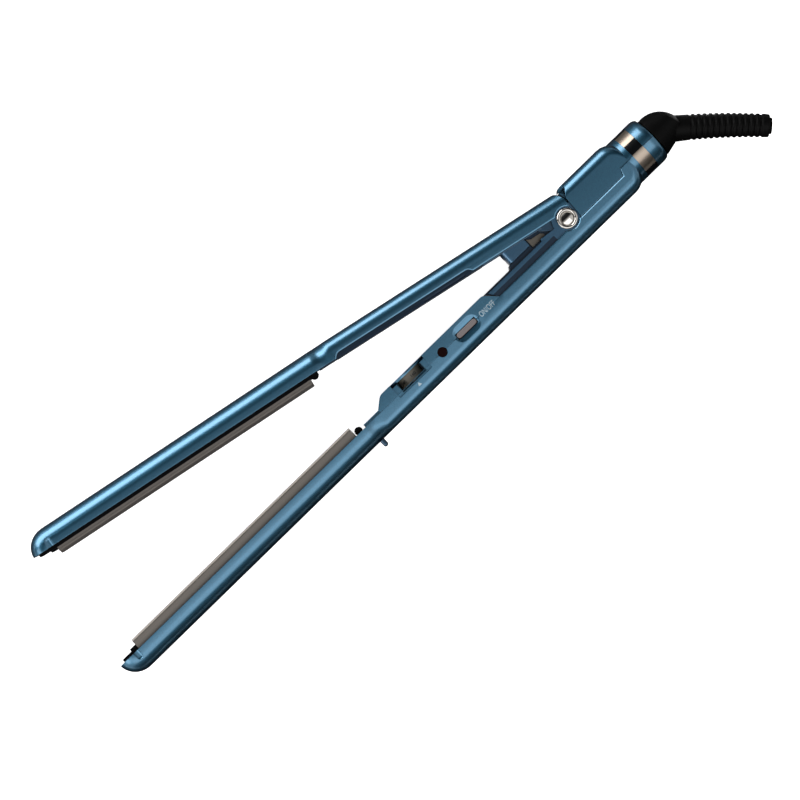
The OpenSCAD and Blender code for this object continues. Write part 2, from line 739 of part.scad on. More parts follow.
// Steel cheeks on both sides of the base's core
module spring_bracket() color(steel) laid() both_sides() along_z(bracket_core + seat, bracket_half)
    polygon([
        [bracket_x0, base_top + seat], [bracket_x0, bracket_top], [bracket_x0 + 1.5, bracket_top - 1.25],
        [bracket_x1 - 1.2, 3.6], [bracket_x1, 2.2], [bracket_x1 - 0.2, base_top + seat]]);

// Torsion spring round the pin: the lower leg runs in along +X, the helix turns from there with its
// direction, and the upper leg leaves along the tangent. Closing the arms winds it up further.
spring_turn = spring_turns + spring_leg_angle / 360;
function spring_point(i, n) =
    let (a = 270 + 360 * spring_turn * i / n, z = spring_pitch * spring_turn * (i / n - 0.5))
    [spring_r * cos(a), spring_r * sin(a), z];

function spring_path() =
    let (n = 8 * spring_turns + 3, coil = [for (i = [0:n]) spring_point(i, n)])
    concat(
        [coil[0] - [spring_leg, 0, 0]],
        coil,
        [coil[n] + spring_leg * [cos(spring_leg_angle), sin(spring_leg_angle), 0]]);

module opening_spring() color(steel) laid() tube(spring_path(), spring_wire / 2, 6);

// Least air between two turns of the wire
spring_gap = let (p = spring_path(), n = len(p) - 1)
    min([for (i = [0:n], j = [i + 4:1:n]) norm(p[i] - p[j])]) - spring_wire;

echo(spring_gap = spring_gap);

// Tube along a path, with rings square to the run between neighbours
function unit(v) = v / norm(v);
function ring_at(path, i, r, sides) =
    let (last = len(path) - 1,
         t = unit(path[min(i + 1, last)] - path[max(i - 1, 0)]),
         u = unit(cross(t, [0, 0, 1])),
         v = cross(t, u))
    [for (k = [0:sides - 1]) path[i] + r * (cos(360 * k / sides) * u + sin(360 * k / sides) * v)];

// Skin over a list of rings with the same number of points
module skin(rings) {
    s = len(rings[0]);
    m = len(rings);
    points = [for (ring = rings) for (p = ring) p];
    walls = [for (i = [0:m - 2]) for (k = [0:s - 1]) let (k2 = (k + 1) % s)
        each [[i * s + k, (i + 1) * s + k2, i * s + k2], [i * s + k, (i + 1) * s + k, (i + 1) * s + k2]]];
    caps = [
        for (k = [1:s - 2]) [0, k, k + 1],
        for (k = [1:s - 2]) [(m - 1) * s, (m - 1) * s + k + 1, (m - 1) * s + k]];
    polyhedron(points = points, faces = concat(walls, caps), convexity = 6);
}

module tube(path, r, sides) skin([for (i = [0:len(path) - 1]) ring_at(path, i, r, sides)]);

module pivot_pin() color(steel) laid() rod_z(-ear_out, ear_out, pin_r);

// Near cap: a rounded ring, a groove inside it and a domed disc
module pivot_cap_near() color(chrome) laid() translate([0, 0, half_w + cap_proud]) {
    foot = ear_out + seat - half_w - cap_proud;
    rotate_extrude($fn = 96) polygon(concat(
        [[0, foot], [cap_r, foot]],
        arc_points([cap_r - cap_round, -cap_round], cap_round, cap_round, 0, 90, 6),
        arc_points([cap_disc_r + 0.1 + cap_round, -cap_round], cap_round, cap_round, 90, 180, 6),
        [for (i = [8:-1:0]) [cap_disc_r * i / 8, cap_dome * (1 - i * i / 64) - cap_groove]]));
}

module pivot_cap_far() color(chrome) laid() rod_z(-half_w, -ear_out - seat, cap_r, 0, 0, 64);

module rest_peg() color(dark_blue) laid() {
    peg_x = -neck - 2.3;
    for (s = [-1, 1]) translate([peg_x, 0, s * 6]) {
        rod_y(-lower_back - 2.2, -lower_back, 1.05, 0, 0, 24);
        translate([0, -lower_back - 2.2, 0]) sphere(r = 1.05, $fn = 24);
    }
}

module circuit_board() color(board_green) laid() difference() {
    block([board_x0, board_y0, board_z + seat], [board_x1, board_y1, board_z + board_t]);
    rod_z(board_z - past, board_z + board_t + past, 0.9, board_x0 + 14, board_y0 + 2.2, 20);
}

module power_switch() color(resin_black) laid() {
    top = board_z + board_t;
    block([-button_x - 3, control_y - 3, top + seat], [-button_x + 3, control_y + 2.4, top + 1.7]);
    rod_z(top + 1.6, flange_top - button_flange - button_travel - seat, 1.5, -button_x, control_y, 32);
}

module led() color(lens_red) laid() {
    top = board_z + board_t;
    rod_z(top + seat, top + led_h, led_r, -lens_x, control_y, 24);
    translate([-lens_x, control_y, top + led_h]) sphere(r = led_r, $fn = 24);
}

module led_lens() color(lens_red) laid() {
    rod_z(inner_half - 0.7, inner_half - seat, lens_d / 2 + 0.8, -lens_x, control_y, 40);
    rod_z(inner_half - 0.1, half_w - 0.25, lens_d / 2, -lens_x, control_y, 40);
}

module dial_potentiometer() color(dark_blue) laid() difference() {
    block([-dial_x - pot_size / 2, wall - lower_back + seat, dial_z - pot_size / 2],
          [-dial_x + pot_size / 2, pot_top, dial_z + pot_size / 2]);
    rod_y(spindle_low - 0.3, pot_top + past, spindle_d / 2 + running, -dial_x, dial_z);
}

// Leads along the floor of the lower shell, which rise into the collar to the brushes
module supply_leads() color(resin_black) laid() for (s = [-1, 1]) {
    low = wall - lower_back + lead_r + seat;
    tube([
        [lead_start, low, s * lead_half], [seam_step_x - 6, low, s * lead_half],
        [seam_step_x + 1, low + 1.6, s * 2.4],
        [ring_xs[0] - 2, low + 2.8, s * 1.6], [ring_xs[0] - 0.2, low + 3, s * 1.6]], lead_r, 8);
}

module band_ring() color(resin_black) laid() difference() {
    ring_x(band_x0, band_x1, collar_r - band_t + seat, collar_r - 0.05);
    both_sides() for (arc = [badge_arc, cuff_arc])
        ring_x(band_x0 - past, band_x1 + past, collar_r - inlay_t - seat, collar_r + past,
               arc[0], arc[1] - arc[0]);
}

module inlay(arc) both_sides()
    ring_x(band_x0, band_x1, collar_r - inlay_t, collar_r, arc[0] + 0.4, arc[1] - arc[0] - 0.8);

module silver_badges() color(champagne) laid() inlay(badge_arc);

module silver_cuffs() color(champagne) laid() inlay(cuff_arc);

module swivel_bearing() color(resin_black) laid()
    ring_x(bearing_x0, bearing_x1, swivel_r + running, collar_bore - seat);

module brush_contacts() color(brass) laid() for (x = ring_xs)
    ring_x(x + 0.1, x + ring_w - 0.1, ring_r + 0.1, collar_bore - seat, 180 - brush_arc / 2, brush_arc);

module cover_screws() color(steel) laid() for (x = [screw_front_x, screw_rear_x])
    screw_y(x, screw_low, handle_top - screw_sink + seat + screw_head_h, 20);

// ---------------------------------------------------------------- upper arm

// Side outline that the upper shell ends in behind the hinge
module upper_rear_area() polygon([
    [-neck, -20], [rear_corner_x - 2.6, -20], [rear_corner_x - 2.6, -upper_back - 0.2],
    [rear_corner_x - 1.2, -upper_back + 0.25], [rear_corner_x, -rear_corner_y],
    [rear_x - 0.6, -rear_knee - 1.3], [rear_x, -rear_knee], [rear_x, 3], [-neck, 3]]);

// Notch in a rim through a, b, c, d, with eased corners
module notch_area(a, b, c, d) polygon(concat(
    [[a[0] - notch_round, a[1] + past]],
    eased([a[0] - past, a[1]], a, b, notch_round / 2), eased(a, b, c, notch_round),
    eased(b, c, d, notch_round), eased(c, d, [d[0] + past, d[1]], notch_round / 2),
    [[d[0] + notch_round, d[1] + past]]));

module upper_housing() color(body_blue) upper_pose() difference() {
    arm_shell(upper_front, upper_skirt, upper_slope, rear_x + past, 0);
    difference() {
        block([-neck / 2, -20, -half_w - past], [rear_x + 4, 5, half_w + past]);
        along_z(-half_w - past, half_w + past) upper_rear_area();
    }
    both_sides() rod_z(inner_half - past, half_w + past, cap_r + cap_room);
    rod_z(-inner_half, inner_half, ear_r + 0.4, 0, 0, 72);
    // Notch that clears the raised controls of the lower arm
    handle_frame(upper_front, upper_slope) along_z(-half_w - past, half_w + past) translate([neck, 0])
        notch_area([notch_x0 - notch_slant, upper_skirt], [notch_x0, upper_skirt - skirt_notch],
                   [notch_x1, upper_skirt - skirt_notch], [notch_x1 + notch_slant, upper_skirt]);
}

// Inner cover of the upper handle: a channel whose floor faces the lower arm
module upper_cover() color(resin_black) upper_pose() handle_frame(upper_front, upper_slope) difference() {
    union() {
        block([blend + 0.4, wall + 2.7, -tray_half], [neck + upper_cover_x1, liner_drop, tray_half]);
        block([-3.4, upper_skirt - 1, -tray_half + 1], [blend + 0.5, upper_skirt + 0.5, tray_half - 1]);
    }
    block([blend + 1.6, wall, -tray_half + liner_t],
          [neck + upper_cover_x1 - liner_t, liner_drop - liner_t, tray_half - liner_t]);
    // Long shallow groove in each side, opposite the button
    both_sides() block([liner_groove_x[0], liner_groove_y[0], tray_half - 0.4],
                       [liner_groove_x[1], liner_groove_y[1], tray_half + past]);
    for (x = liner_screw_xs) {
        rod_y(liner_drop - screw_sink, liner_drop + past, screw_head_r + 0.15, x, 0, 32);
        rod_y(liner_drop - liner_t - past, liner_drop + past, screw_r + 0.15, x, 0, 24);
    }
}

// Inner frame of the upper handle: two side walls that step in to the hinge ears
module upper_frame() color(dark_blue) upper_pose() difference() {
    union() {
        handle_frame(upper_front, upper_slope) {
            for (x = [[upper_frame_x0, upper_frame_x0 + 8], [upper_step_x0, upper_wall_x1]])
                along_x(neck + x[0], neck + x[1]) difference() {
                    polygon(channel_section(wall + seat, liner_drop - 0.1, ear_out, frame_cut));
                    polygon(channel_section(wall + 1.4, liner_drop,
                                            x[0] < upper_step_x0 ? ear_in : upper_ear_in, frame_cut - 1));
                }
            both_sides() block([neck + upper_frame_x0, wall + frame_cut, ear_in],
                               [neck + upper_wall_x1, liner_drop - 0.1, ear_out]);
        }
        both_sides() along_z(upper_ear_in, upper_ear_out) {
            circle(r = upper_ear_r, $fn = 96);
            polygon([[-14, -10], [-14, -3], [-upper_ear_r * 0.5, upper_ear_r * 0.62],
                     [-0.3, 0], [-0.3, -spring_seat_top]]);
        }
        // Bar that the spring's upper leg lifts
        block([spring_seat_x, -spring_seat_top, -upper_ear_in - eps],
              [spring_seat_x + 3.2, -spring_seat_low, upper_ear_in + eps]);
    }
    rod_z(-half_w, half_w, pin_r + running);
    both_sides() rod_z(ear_in - side_gap, half_w, ear_r + 0.4, 0, 0, 72);
}

module upper_holder() color(resin_black) upper_pose() plate_tray(upper_rim, 1.55);

module upper_plate() color(titanium) upper_pose()
    ridged_plate(upper_rim, upper_mid, upper_rail, -1, upper_scored);

module upper_heater() color(ceramic) upper_pose() heater_bar(upper_rim);

module upper_pads() color(pad_grey) upper_pose() plate_pads(upper_rim);

module upper_screws() color(steel) upper_pose() handle_frame(upper_front, upper_slope)
    for (x = liner_screw_xs)
        screw_y(x, wall + 0.3, liner_drop - screw_sink + seat + screw_head_h, liner_screw_turn);

// ---------------------------------------------------------------- push button

module power_button() color(titanium) laid() translate([-button_x, control_y, 0]) {
    along_z(flange_top - seat, button_top) square([button_len, button_w], center = true);
    along_z(flange_top - button_flange, flange_top)
        square([button_len + 2 * slot_play + 2 * flange_rim,
                button_w + 2 * slot_play + flange_rim], center = true);
}

// ---------------------------------------------------------------- thumb dial

module dial_disc() color(body_blue) laid() translate([-dial_x, 0, dial_z]) difference() {
    teeth = 80;
    along_y(disc_top - disc_h, disc_top) polygon([
        for (i = [0:2 * teeth - 1]) let (r = disc_d / 2 - (i % 2) * 0.12, a = 180 * i / teeth)
            [r * cos(a), r * sin(a)]]);
    rod_y(disc_top - disc_h - past, disc_top + past, spindle_d / 2 + eps);
}

module dial_drum() color(titanium) laid() translate([-dial_x, 0, dial_z]) difference() {
    rod_y(drum_low, drum_top, drum_d / 2, 0, 0, 64);
    rod_y(drum_low - past, drum_top + past, spindle_d / 2 + eps);
}

module dial_spindle() color(steel) laid() rod_y(spindle_low, disc_top - 0.1, spindle_d / 2, -dial_x, dial_z);

// ---------------------------------------------------------------- cord swivel

module swivel_core() color(resin_black) laid() {
    rod_x(bearing_x0 - 0.5, boot_x0 - seat, swivel_r, collar_y, 0, 64);
    rod_x(bearing_x0 - 2.8, bearing_x0 - 0.4, flange_r, collar_y, 0, 64);
    rod_x(bearing_x0 - 10.5, bearing_x0 - 2.7, ring_r - 0.7, collar_y, 0, 48);
}

module slip_rings() color(brass) laid() for (x = ring_xs) ring_x(x, x + ring_w, ring_r - 0.7 + eps, ring_r);

// Boot: a cone closed by a large sphere that leans towards the sleeve, bored for the sleeve's root
module swivel_boot() color(resin_black) laid() difference() {
    intersection() {
        translate([boot_x0, collar_y - boot_drop, 0]) rotate([0, 90, 0])
            cylinder(h = boot_len, r1 = boot_r, r2 = boot_r - boot_len * boot_taper, $fn = 96);
        translate([boot_x0 + boot_len - dome_r, collar_y - dome_lean, 0]) sphere(r = dome_r, $fn = 128);
    }
    translate([sleeve_start[0], sleeve_start[1], 0]) rotate([0, 0, sleeve_angle0])
        rod_x(sleeve_seat, boot_len + 12, sleeve_d0 / 2 + seat, 0, 0, 64);
}

// Point and direction of the sleeve's axis, which is a shallow arc
sleeve_r = -sleeve_len / (sleeve_bend * PI / 180);
function sleeve_angle(t) = sleeve_angle0 + sleeve_bend * t / sleeve_len;
function sleeve_point(t) =
    let (a0 = sleeve_angle0, a = sleeve_angle(t))
    [sleeve_start[0] + sleeve_r * (sin(a0) - sin(a)), sleeve_start[1] - sleeve_r * (cos(a0) - cos(a)), 0];
function sleeve_radius(t) = (sleeve_d0 + (sleeve_d1 - sleeve_d0) * t / sleeve_len) / 2;

// Stations along the sleeve: smooth root, square ribs, plain end and the narrow mouth
function sleeve_stations() =
    let (pitch = (sleeve_len - sleeve_smooth - 2) / ribs)
    concat(
        [[sleeve_seat + seat, sleeve_radius(0)], [sleeve_smooth, sleeve_radius(sleeve_smooth) - 0.1]],
        [for (i = [0:ribs - 1]) let (t = sleeve_smooth + pitch * i, r = sleeve_radius(t))
            each [[t + 0.12 * pitch, r - rib_depth], [t + 0.42 * pitch, r - rib_depth],
                  [t + 0.58 * pitch, r], [t + 0.96 * pitch, r]]],
        [[sleeve_len - 0.6, sleeve_radius(sleeve_len)], [sleeve_len, sleeve_radius(sleeve_len) - 0.5],
         [sleeve_len + eps, mouth_d / 2], [sleeve_len + mouth_len, mouth_d / 2]]);

function sleeve_ring(t, r) =
    let (a = sleeve_angle(t), c = sleeve_point(t))
    [for (k = [0:sleeve_sides - 1]) let (b = 360 * k / sleeve_sides)
        c + r * [-sin(a) * cos(b), cos(a) * cos(b), sin(b)]];

module cord_sleeve() color(resin_black) laid() difference() {
    skin([for (s = sleeve_stations()) sleeve_ring(s[0], s[1])]);
    translate(sleeve_point(sleeve_len + mouth_len)) rotate([0, 0, sleeve_angle(sleeve_len + mouth_len)])
        rod_x(-bore_len, past, cord_d / 2);
}

// ---------------------------------------------------------------- nodes

lower_housing();
control_cover();
rear_cover();
lower_holder();
lower_plate();
lower_heater();
lower_pads();
thermal_fuse();
hinge_frame();
post_base();
guide_post();
spring_bracket();
opening_spring();
pivot_pin();
pivot_cap_near();
pivot_cap_far();
rest_peg();
circuit_board();
power_switch();
led();
led_lens();
dial_potentiometer();
supply_leads();
band_ring();
silver_badges();
silver_cuffs();
swivel_bearing();
brush_contacts();
cover_screws();
upper_housing();
upper_cover();
upper_frame();
upper_holder();
upper_plate();
upper_heater();
upper_pads();
upper_screws();
power_button();
dial_disc();
dial_drum();
dial_spindle();
swivel_core();
slip_rings();
swivel_boot();
cord_sleeve();
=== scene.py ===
"""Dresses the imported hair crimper: finishes, softened mouldings, marks, small parts, a studio."""

import json
import logging
import math
from dataclasses import dataclass
from typing import Sequence

import bmesh
import bpy
from mathutils import Matrix, Vector


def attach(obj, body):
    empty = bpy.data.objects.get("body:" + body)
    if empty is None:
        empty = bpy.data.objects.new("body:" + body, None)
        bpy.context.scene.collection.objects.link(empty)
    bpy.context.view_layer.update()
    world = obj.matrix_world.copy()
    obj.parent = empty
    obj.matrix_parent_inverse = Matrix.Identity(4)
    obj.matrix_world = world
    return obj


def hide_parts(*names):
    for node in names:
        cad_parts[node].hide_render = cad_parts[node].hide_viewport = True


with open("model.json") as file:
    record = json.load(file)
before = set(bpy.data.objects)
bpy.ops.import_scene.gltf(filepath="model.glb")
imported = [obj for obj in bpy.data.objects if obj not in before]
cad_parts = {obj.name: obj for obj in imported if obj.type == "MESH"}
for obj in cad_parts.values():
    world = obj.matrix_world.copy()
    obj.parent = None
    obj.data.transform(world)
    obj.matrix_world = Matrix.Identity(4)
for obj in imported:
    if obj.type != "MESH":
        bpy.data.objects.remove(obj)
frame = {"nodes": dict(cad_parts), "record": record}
log = logging.getLogger("crimper")

Pair = tuple[float, float]
Triple = tuple[float, float, float]
Stops = Sequence[tuple[float, Sequence[float]]]
Socket = bpy.types.NodeSocket
Mesh = bmesh.types.BMesh
Face = bmesh.types.BMFace
Piece = bpy.types.Object

MM = 0.001
# Measures that several pieces share, in mm
MIDDLE_Z = 11.0     # halfway through the tool's thickness
FACE_Z = 22.0       # near face of the shells
SEAM_Y = -3.55      # parting line between the lower housing and the control cover
COLLAR_X = 31.5     # start of the round collar, whose edges are left as they are
SLACK_MM = 0.01     # how far off a point may be and still count as in place
WELD_MM = 0.001     # points nearer than this are one point
# A face is level when its normal's z is more than this, up or down
LEVEL_NORMAL = 0.9999


def linear(hex_colour: str) -> tuple[float, float, float, float]:
    """Turns an sRGB hex colour into Blender's linear colour.

    Args:
        hex_colour: Six hex digits, without a hash.

    Returns:
        Linear red, green and blue, and an alpha of 1.
    """
    parts = [int(hex_colour[i:i + 2], 16) / 255 for i in (0, 2, 4)]
    flat = [c / 12.92 if c <= 0.04045 else ((c + 0.055) / 1.055) ** 2.4 for c in parts]
    return (flat[0], flat[1], flat[2], 1.0)


def per_mm(size: float) -> float:
    """Returns the scale of a texture whose features are about size millimetres apart."""
    return 1 / (size * MM)


def add_node(tree: bpy.types.NodeTree, kind: str, settings: dict | None = None,
             inputs: dict | None = None) -> bpy.types.Node:
    """Adds one node, sets its properties, and fills or links its inputs.

    Args:
        tree: The node tree that takes the node.
        kind: Blender's identifier of the node.
        settings: Properties of the node, by name.
        inputs: Values or output sockets, by the input's name or index.

    Returns:
        The new node.
    """
    node = tree.nodes.new(kind)
    for name, value in (settings or {}).items():
        setattr(node, name, value)
    for name, value in (inputs or {}).items():
        if isinstance(value, Socket):
            tree.links.new(value, node.inputs[name])
        else:
            node.inputs[name].default_value = value
    return node


def add_math(tree: bpy.types.NodeTree, operation: str, first: Socket,
             second: Socket | float) -> Socket:
    """Adds one sum to a node tree.

    Args:
        tree: The node tree that takes the sum.
        operation: Blender's name of the operation.
        first: Its first value.
        second: Its second value.

    Returns:
        The socket of its result.
    """
    return add_node(tree, "ShaderNodeMath", {"operation": operation},
                    {0: first, 1: second}).outputs[0]


def add_ramp(tree: bpy.types.NodeTree, value: Socket, stops: Stops,
             blend: str = "LINEAR") -> Socket:
    """Adds a colour ramp.

    Args:
        tree: The node tree that takes the ramp.
        value: The socket that drives it.
        stops: Positions and colours, in order.
        blend: Blender's name of the interpolation.

    Returns:
        The ramp's colour socket.
    """
    node = add_node(tree, "ShaderNodeValToRGB", inputs={"Fac": value})
    ramp = node.color_ramp
    ramp.interpolation = blend
    while len(ramp.elements) > 1:
        ramp.elements.remove(ramp.elements[-1])
    ramp.elements[0].position = stops[0][0]
    for place, colour in stops:
        element = ramp.elements[0] if place == stops[0][0] else ramp.elements.new(place)
        element.color = (*colour[:3], 1.0)
    return node.outputs["Color"]


@dataclass(frozen=True)
class Surface:
    """A material in the making: its nodes, its shader and the place its patterns are laid by."""

    tree: bpy.types.NodeTree
    shader: bpy.types.Node
    place: Socket

    def pattern(self, kind: str, size_mm: float, settings: dict | None = None,
                **inputs: float) -> bpy.types.NodeOutputs:
        """Adds a pattern.

        Args:
            kind: Last part of Blender's identifier of the texture.
            size_mm: About how far apart its features are.
            settings: Properties of the node, by name.
            inputs: Its other inputs, by name.

        Returns:
            The pattern's outputs.
        """
        return add_node(self.tree, f"ShaderNodeTex{kind}", settings, {
            "Vector": self.place, "Scale": per_mm(size_mm), **inputs}).outputs

    def paint(self, pattern: Socket, stops: Stops) -> None:
        """Colours the surface by a pattern.

        Args:
            pattern: The pattern's value.
            stops: Values and their colours, in order.
        """
        self.tree.links.new(add_ramp(self.tree, pattern, stops), self.shader.inputs["Base Color"])

    def vary_roughness(self, pattern: Socket, middle: float, spread: float) -> None:
        """Lets a pattern shift the roughness.

        Args:
            pattern: The pattern's value.
            middle: The finish's own roughness.
            spread: How far the roughness goes to either side.
        """
        level = add_node(self.tree, "ShaderNodeMapRange", inputs={
            "Value": pattern, "To Min": max(0.0, middle - spread), "To Max": middle + spread})
        self.tree.links.new(level.outputs["Result"], self.shader.inputs["Roughness"])

    def relief(self, pattern: Socket, depth_mm: float) -> None:
        """Turns a pattern into relief of the given depth."""
        bump = add_node(self.tree, "ShaderNodeBump", inputs={
            "Height": pattern, "Strength": 1.0, "Distance": depth_mm * MM})
        self.tree.links.new(bump.outputs["Normal"], self.shader.inputs["Normal"])


# ---------------- finishes

MADE: dict[str, bpy.types.Material] = {}
# Nearly all of a cloudy pattern lies between these two values
CLOUD_LOW, CLOUD_HIGH = 0.3, 0.7


@dataclass(frozen=True)
class Finish:
    """A plain finish: a colour that mottles a little, one roughness, and a fine grain."""

    name: str
    colour: str
    roughness: float = 0.5
    metallic: float = 0.0
    gloss: float = 0.5
    grain_mm: float = 0.4
    grain_depth_mm: float = 0.004
    mottle: float = 0.08
    mottle_mm: float = 14.0

    def material(self) -> bpy.types.Material:
        """Returns the material of this finish, made on its first use."""
        if self.name not in MADE:
            made = MADE[self.name] = bpy.data.materials.new(self.name)
            made.use_nodes = True
            tree = made.node_tree
            tree.nodes.clear()
            shader = add_node(tree, "ShaderNodeBsdfPrincipled", inputs={
                "Base Color": linear(self.colour), "Metallic": self.metallic,
                "Roughness": self.roughness, "Specular IOR Level": self.gloss})
            add_node(tree, "ShaderNodeOutputMaterial", inputs={"Surface": shader.outputs["BSDF"]})
            place = add_node(tree, "ShaderNodeTexCoord").outputs["Object"]
            self.dress(Surface(tree, shader, place))
        return MADE[self.name]

    def dress(self, surface: Surface) -> None:
        """Adds the finish's own detail to its surface."""
        self.mottle_colour(surface)
        grain = surface.pattern("Noise", self.grain_mm, Detail=3.0, Roughness=0.6)
        surface.relief(grain["Fac"], self.grain_depth_mm)

    def shades(self, spread: float) -> tuple[list[float], list[float]]:
        """Returns the finish's colour darkened and lightened by a share."""
        base = linear(self.colour)[:3]
        return [c * (1 - spread) for c in base], [min(1.0, c * (1 + spread)) for c in base]

    def mottle_colour(self, surface: Surface) -> None:
        """Mottles the colour a little over centimetres, as moulding and handling do."""
        cloud = surface.pattern("Noise", self.mottle_mm, Detail=4.0)
        dark, light = self.shades(self.mottle)
        surface.paint(cloud["Fac"], [(CLOUD_LOW, dark), (CLOUD_HIGH, light)])


@dataclass(frozen=True)
class MetallicLacquer(Finish):
    """Metallic lacquer sprayed on moulded resin: flakes that lie flat under a thin clear coat."""

    edge_tint: str = "0a1622"
    coat: float = 0.7
    coat_roughness: float = 0.2
    coat_ior: float = 1.7
    flake_mm: float = 0.2
    flake_depth: float = 0.13
    flake_roughness: float = 0.03

    def dress(self, surface: Surface) -> None:
        """Adds the clear coat, the flakes' sparkle and the spray's faint orange peel."""
        for name, value in (("Specular Tint", linear(self.edge_tint)), ("Coat Weight", self.coat),
                            ("Coat Roughness", self.coat_roughness), ("Coat IOR", self.coat_ior)):
            surface.shader.inputs[name].default_value = value
        flakes = surface.pattern("Voronoi", self.flake_mm)
        tone = add_node(surface.tree, "ShaderNodeSeparateColor",
                        inputs={"Color": flakes["Color"]}).outputs
        dark, light = self.shades(self.flake_depth)
        surface.paint(tone["Red"], [(0.0, dark), (1.0, light)])
        surface.vary_roughness(tone["Green"], self.roughness, self.flake_roughness)
        peel = surface.pattern("Noise", self.grain_mm, Detail=2.0)
        surface.relief(peel["Fac"], self.grain_depth_mm)


@dataclass(frozen=True)
class BrushedMetal(Finish):
    """Metal drawn or brushed along the tool: long fine streaks and a few deeper scratches."""

    streak_mm: float = 0.09
    streak_len_mm: float = 26.0
    streak_depth_mm: float = 0.0012
    streak_roughness: float = 0.08

    def dress(self, surface: Surface) -> None:
        """Adds the streaks to the colour, the roughness and the relief."""
        across = per_mm(self.streak_mm)
        drawn = add_node(surface.tree, "ShaderNodeMapping", inputs={
            "Vector": surface.place, "Scale": (per_mm(self.streak_len_mm), across, across)})
        streaks = add_node(surface.tree, "ShaderNodeTexNoise", inputs={
            "Vector": drawn.outputs["Vector"], "Scale": 1.0, "Detail": 3.0,
            "Roughness": 0.65}).outputs["Fac"]
        dark, light = self.shades(self.mottle)
        surface.paint(streaks, [(CLOUD_LOW, dark), (CLOUD_HIGH, light)])
        surface.vary_roughness(streaks, self.roughness, self.streak_roughness)
        surface.relief(streaks, self.streak_depth_mm)


@dataclass(frozen=True)
class MouldedResin(Finish):
    """Resin moulded in a spark-eroded tool: a fine even orange-skin and faint flow marks."""

    spark_mm: float = 0.16
    spark_depth_mm: float = 0.006
    flow_mm: float = 5.0
    flow_roughness: float = 0.07

    def dress(self, surface: Surface) -> None:
        """Adds the tool's texture and the flow marks."""
        self.mottle_colour(surface)
        pits = surface.pattern("Voronoi", self.spark_mm, {"feature": "SMOOTH_F1"}, Smoothness=0.7)
        flow = surface.pattern("Noise", self.flow_mm, Detail=2.0, Distortion=0.8)
        surface.vary_roughness(flow["Fac"], self.roughness, self.flow_roughness)
        surface.relief(pits["Distance"], self.spark_depth_mm)


@dataclass(frozen=True)
class SpeckledCeramic(Finish):
    """Sintered ceramic: dark specks in an open, dusty grain."""

    speck_mm: float = 0.7
    speck_depth: float = 0.35
    speck_stops: Triple = (0.27, 0.34, 0.8)

    def dress(self, surface: Surface) -> None:
        """Adds the specks and the grain."""
        specks = surface.pattern("Noise", self.speck_mm, Detail=5.0)["Fac"]
        dark, light = self.shades(self.speck_depth)
        surface.paint(specks, list(zip(self.speck_stops, (dark, linear(self.colour), light))))
        surface.relief(specks, self.grain_depth_mm)


@dataclass(frozen=True)
class WovenLaminate(Finish):
    """Glass-cloth laminate: the weave shows through the green resin."""

    weave_mm: float = 10.0
    weave_depth: float = 0.18
    weave_depth_mm: float = 0.01

    def dress(self, surface: Surface) -> None:
        """Adds the weave's threads along and across the board."""
        along, across = (surface.pattern("Wave", self.weave_mm, {"bands_direction": axis},
                                         Distortion=0.6)["Fac"] for axis in ("X", "Y"))
        weave = add_math(surface.tree, "MULTIPLY", along, across)
        dark, light = self.shades(self.weave_depth)
        surface.paint(weave, [(0.0, dark), (1.0, light)])
        surface.relief(weave, self.weave_depth_mm)


def lacquer(name: str, colour: str, roughness: float = 0.34, **more: float) -> MetallicLacquer:
    """Returns a metallic lacquer with the orange peel that all sprayed pieces share."""
    return MetallicLacquer(name, colour, roughness, metallic=1.0, grain_mm=1.6,
                           grain_depth_mm=0.005, **more)


# Blue metallic lacquer on the shells, and darker blue lacquers on the parts inside them
LACQUER = lacquer("metallic_blue_lacquer", "336681")
FRAME_LACQUER = lacquer("frame_blue_lacquer", "26526f")
DARK_LACQUER = lacquer("dark_blue_lacquer", "153e58")
NAVY_LACQUER = lacquer("navy_lacquer", "0a2438", roughness=0.32, coat=0.4)
# Glass-filled heatproof resin of the plate trays, and the general black resin
TRAY_RESIN = MouldedResin("glass_filled_black_resin", "040405", roughness=0.5, gloss=0.05)
BLACK_RESIN = MouldedResin("satin_black_resin", "040507", roughness=0.36, gloss=0.1)
# Moulded thermoplastic rubber of the boot and the sleeve
RUBBER = Finish("moulded_black_rubber", "030303", roughness=0.5, gloss=0.08, grain_mm=0.35,
                grain_depth_mm=0.01, mottle=0.25, mottle_mm=5.0)
# Titanium-coated aluminium of the crimping plates, drawn along their length
TITANIUM = BrushedMetal("titanium_coated_aluminium", "746f6a", roughness=0.46, metallic=1.0,
                        mottle=0.07)
CHROME = Finish("polished_chrome_plate", "c4c0ba", roughness=0.06, metallic=1.0, grain_mm=0.2,
                grain_depth_mm=0.0003, mottle=0.02)
CHAMPAGNE = BrushedMetal("satin_champagne_silver", "978b7f", roughness=0.3, metallic=1.0,
                         mottle=0.05, streak_len_mm=9.0)
STEEL = BrushedMetal("bright_drawn_steel", "8c8880", roughness=0.32, metallic=1.0, mottle=0.1)
DARK_STEEL = BrushedMetal("phosphated_steel", "6a665f", roughness=0.42, metallic=1.0, mottle=0.1)
BRASS = Finish("plain_brass", "c49a4a", roughness=0.3, metallic=1.0, mottle=0.15, mottle_mm=2.0)
CERAMIC = SpeckledCeramic("unglazed_heater_ceramic", "e2ded0", roughness=0.7, grain_depth_mm=0.02)
SILICONE = Finish("grey_silicone", "8c8e92", roughness=0.6, grain_mm=0.3, grain_depth_mm=0.006)
LAMINATE = WovenLaminate("green_board_laminate", "14562a", roughness=0.45)
LED_RESIN = Finish("red_led_resin", "a01010", roughness=0.15, grain_depth_mm=0.001)
LENS = Finish("tinted_red_acrylic", "120303", roughness=0.22, gloss=0.06, grain_depth_mm=0.001)
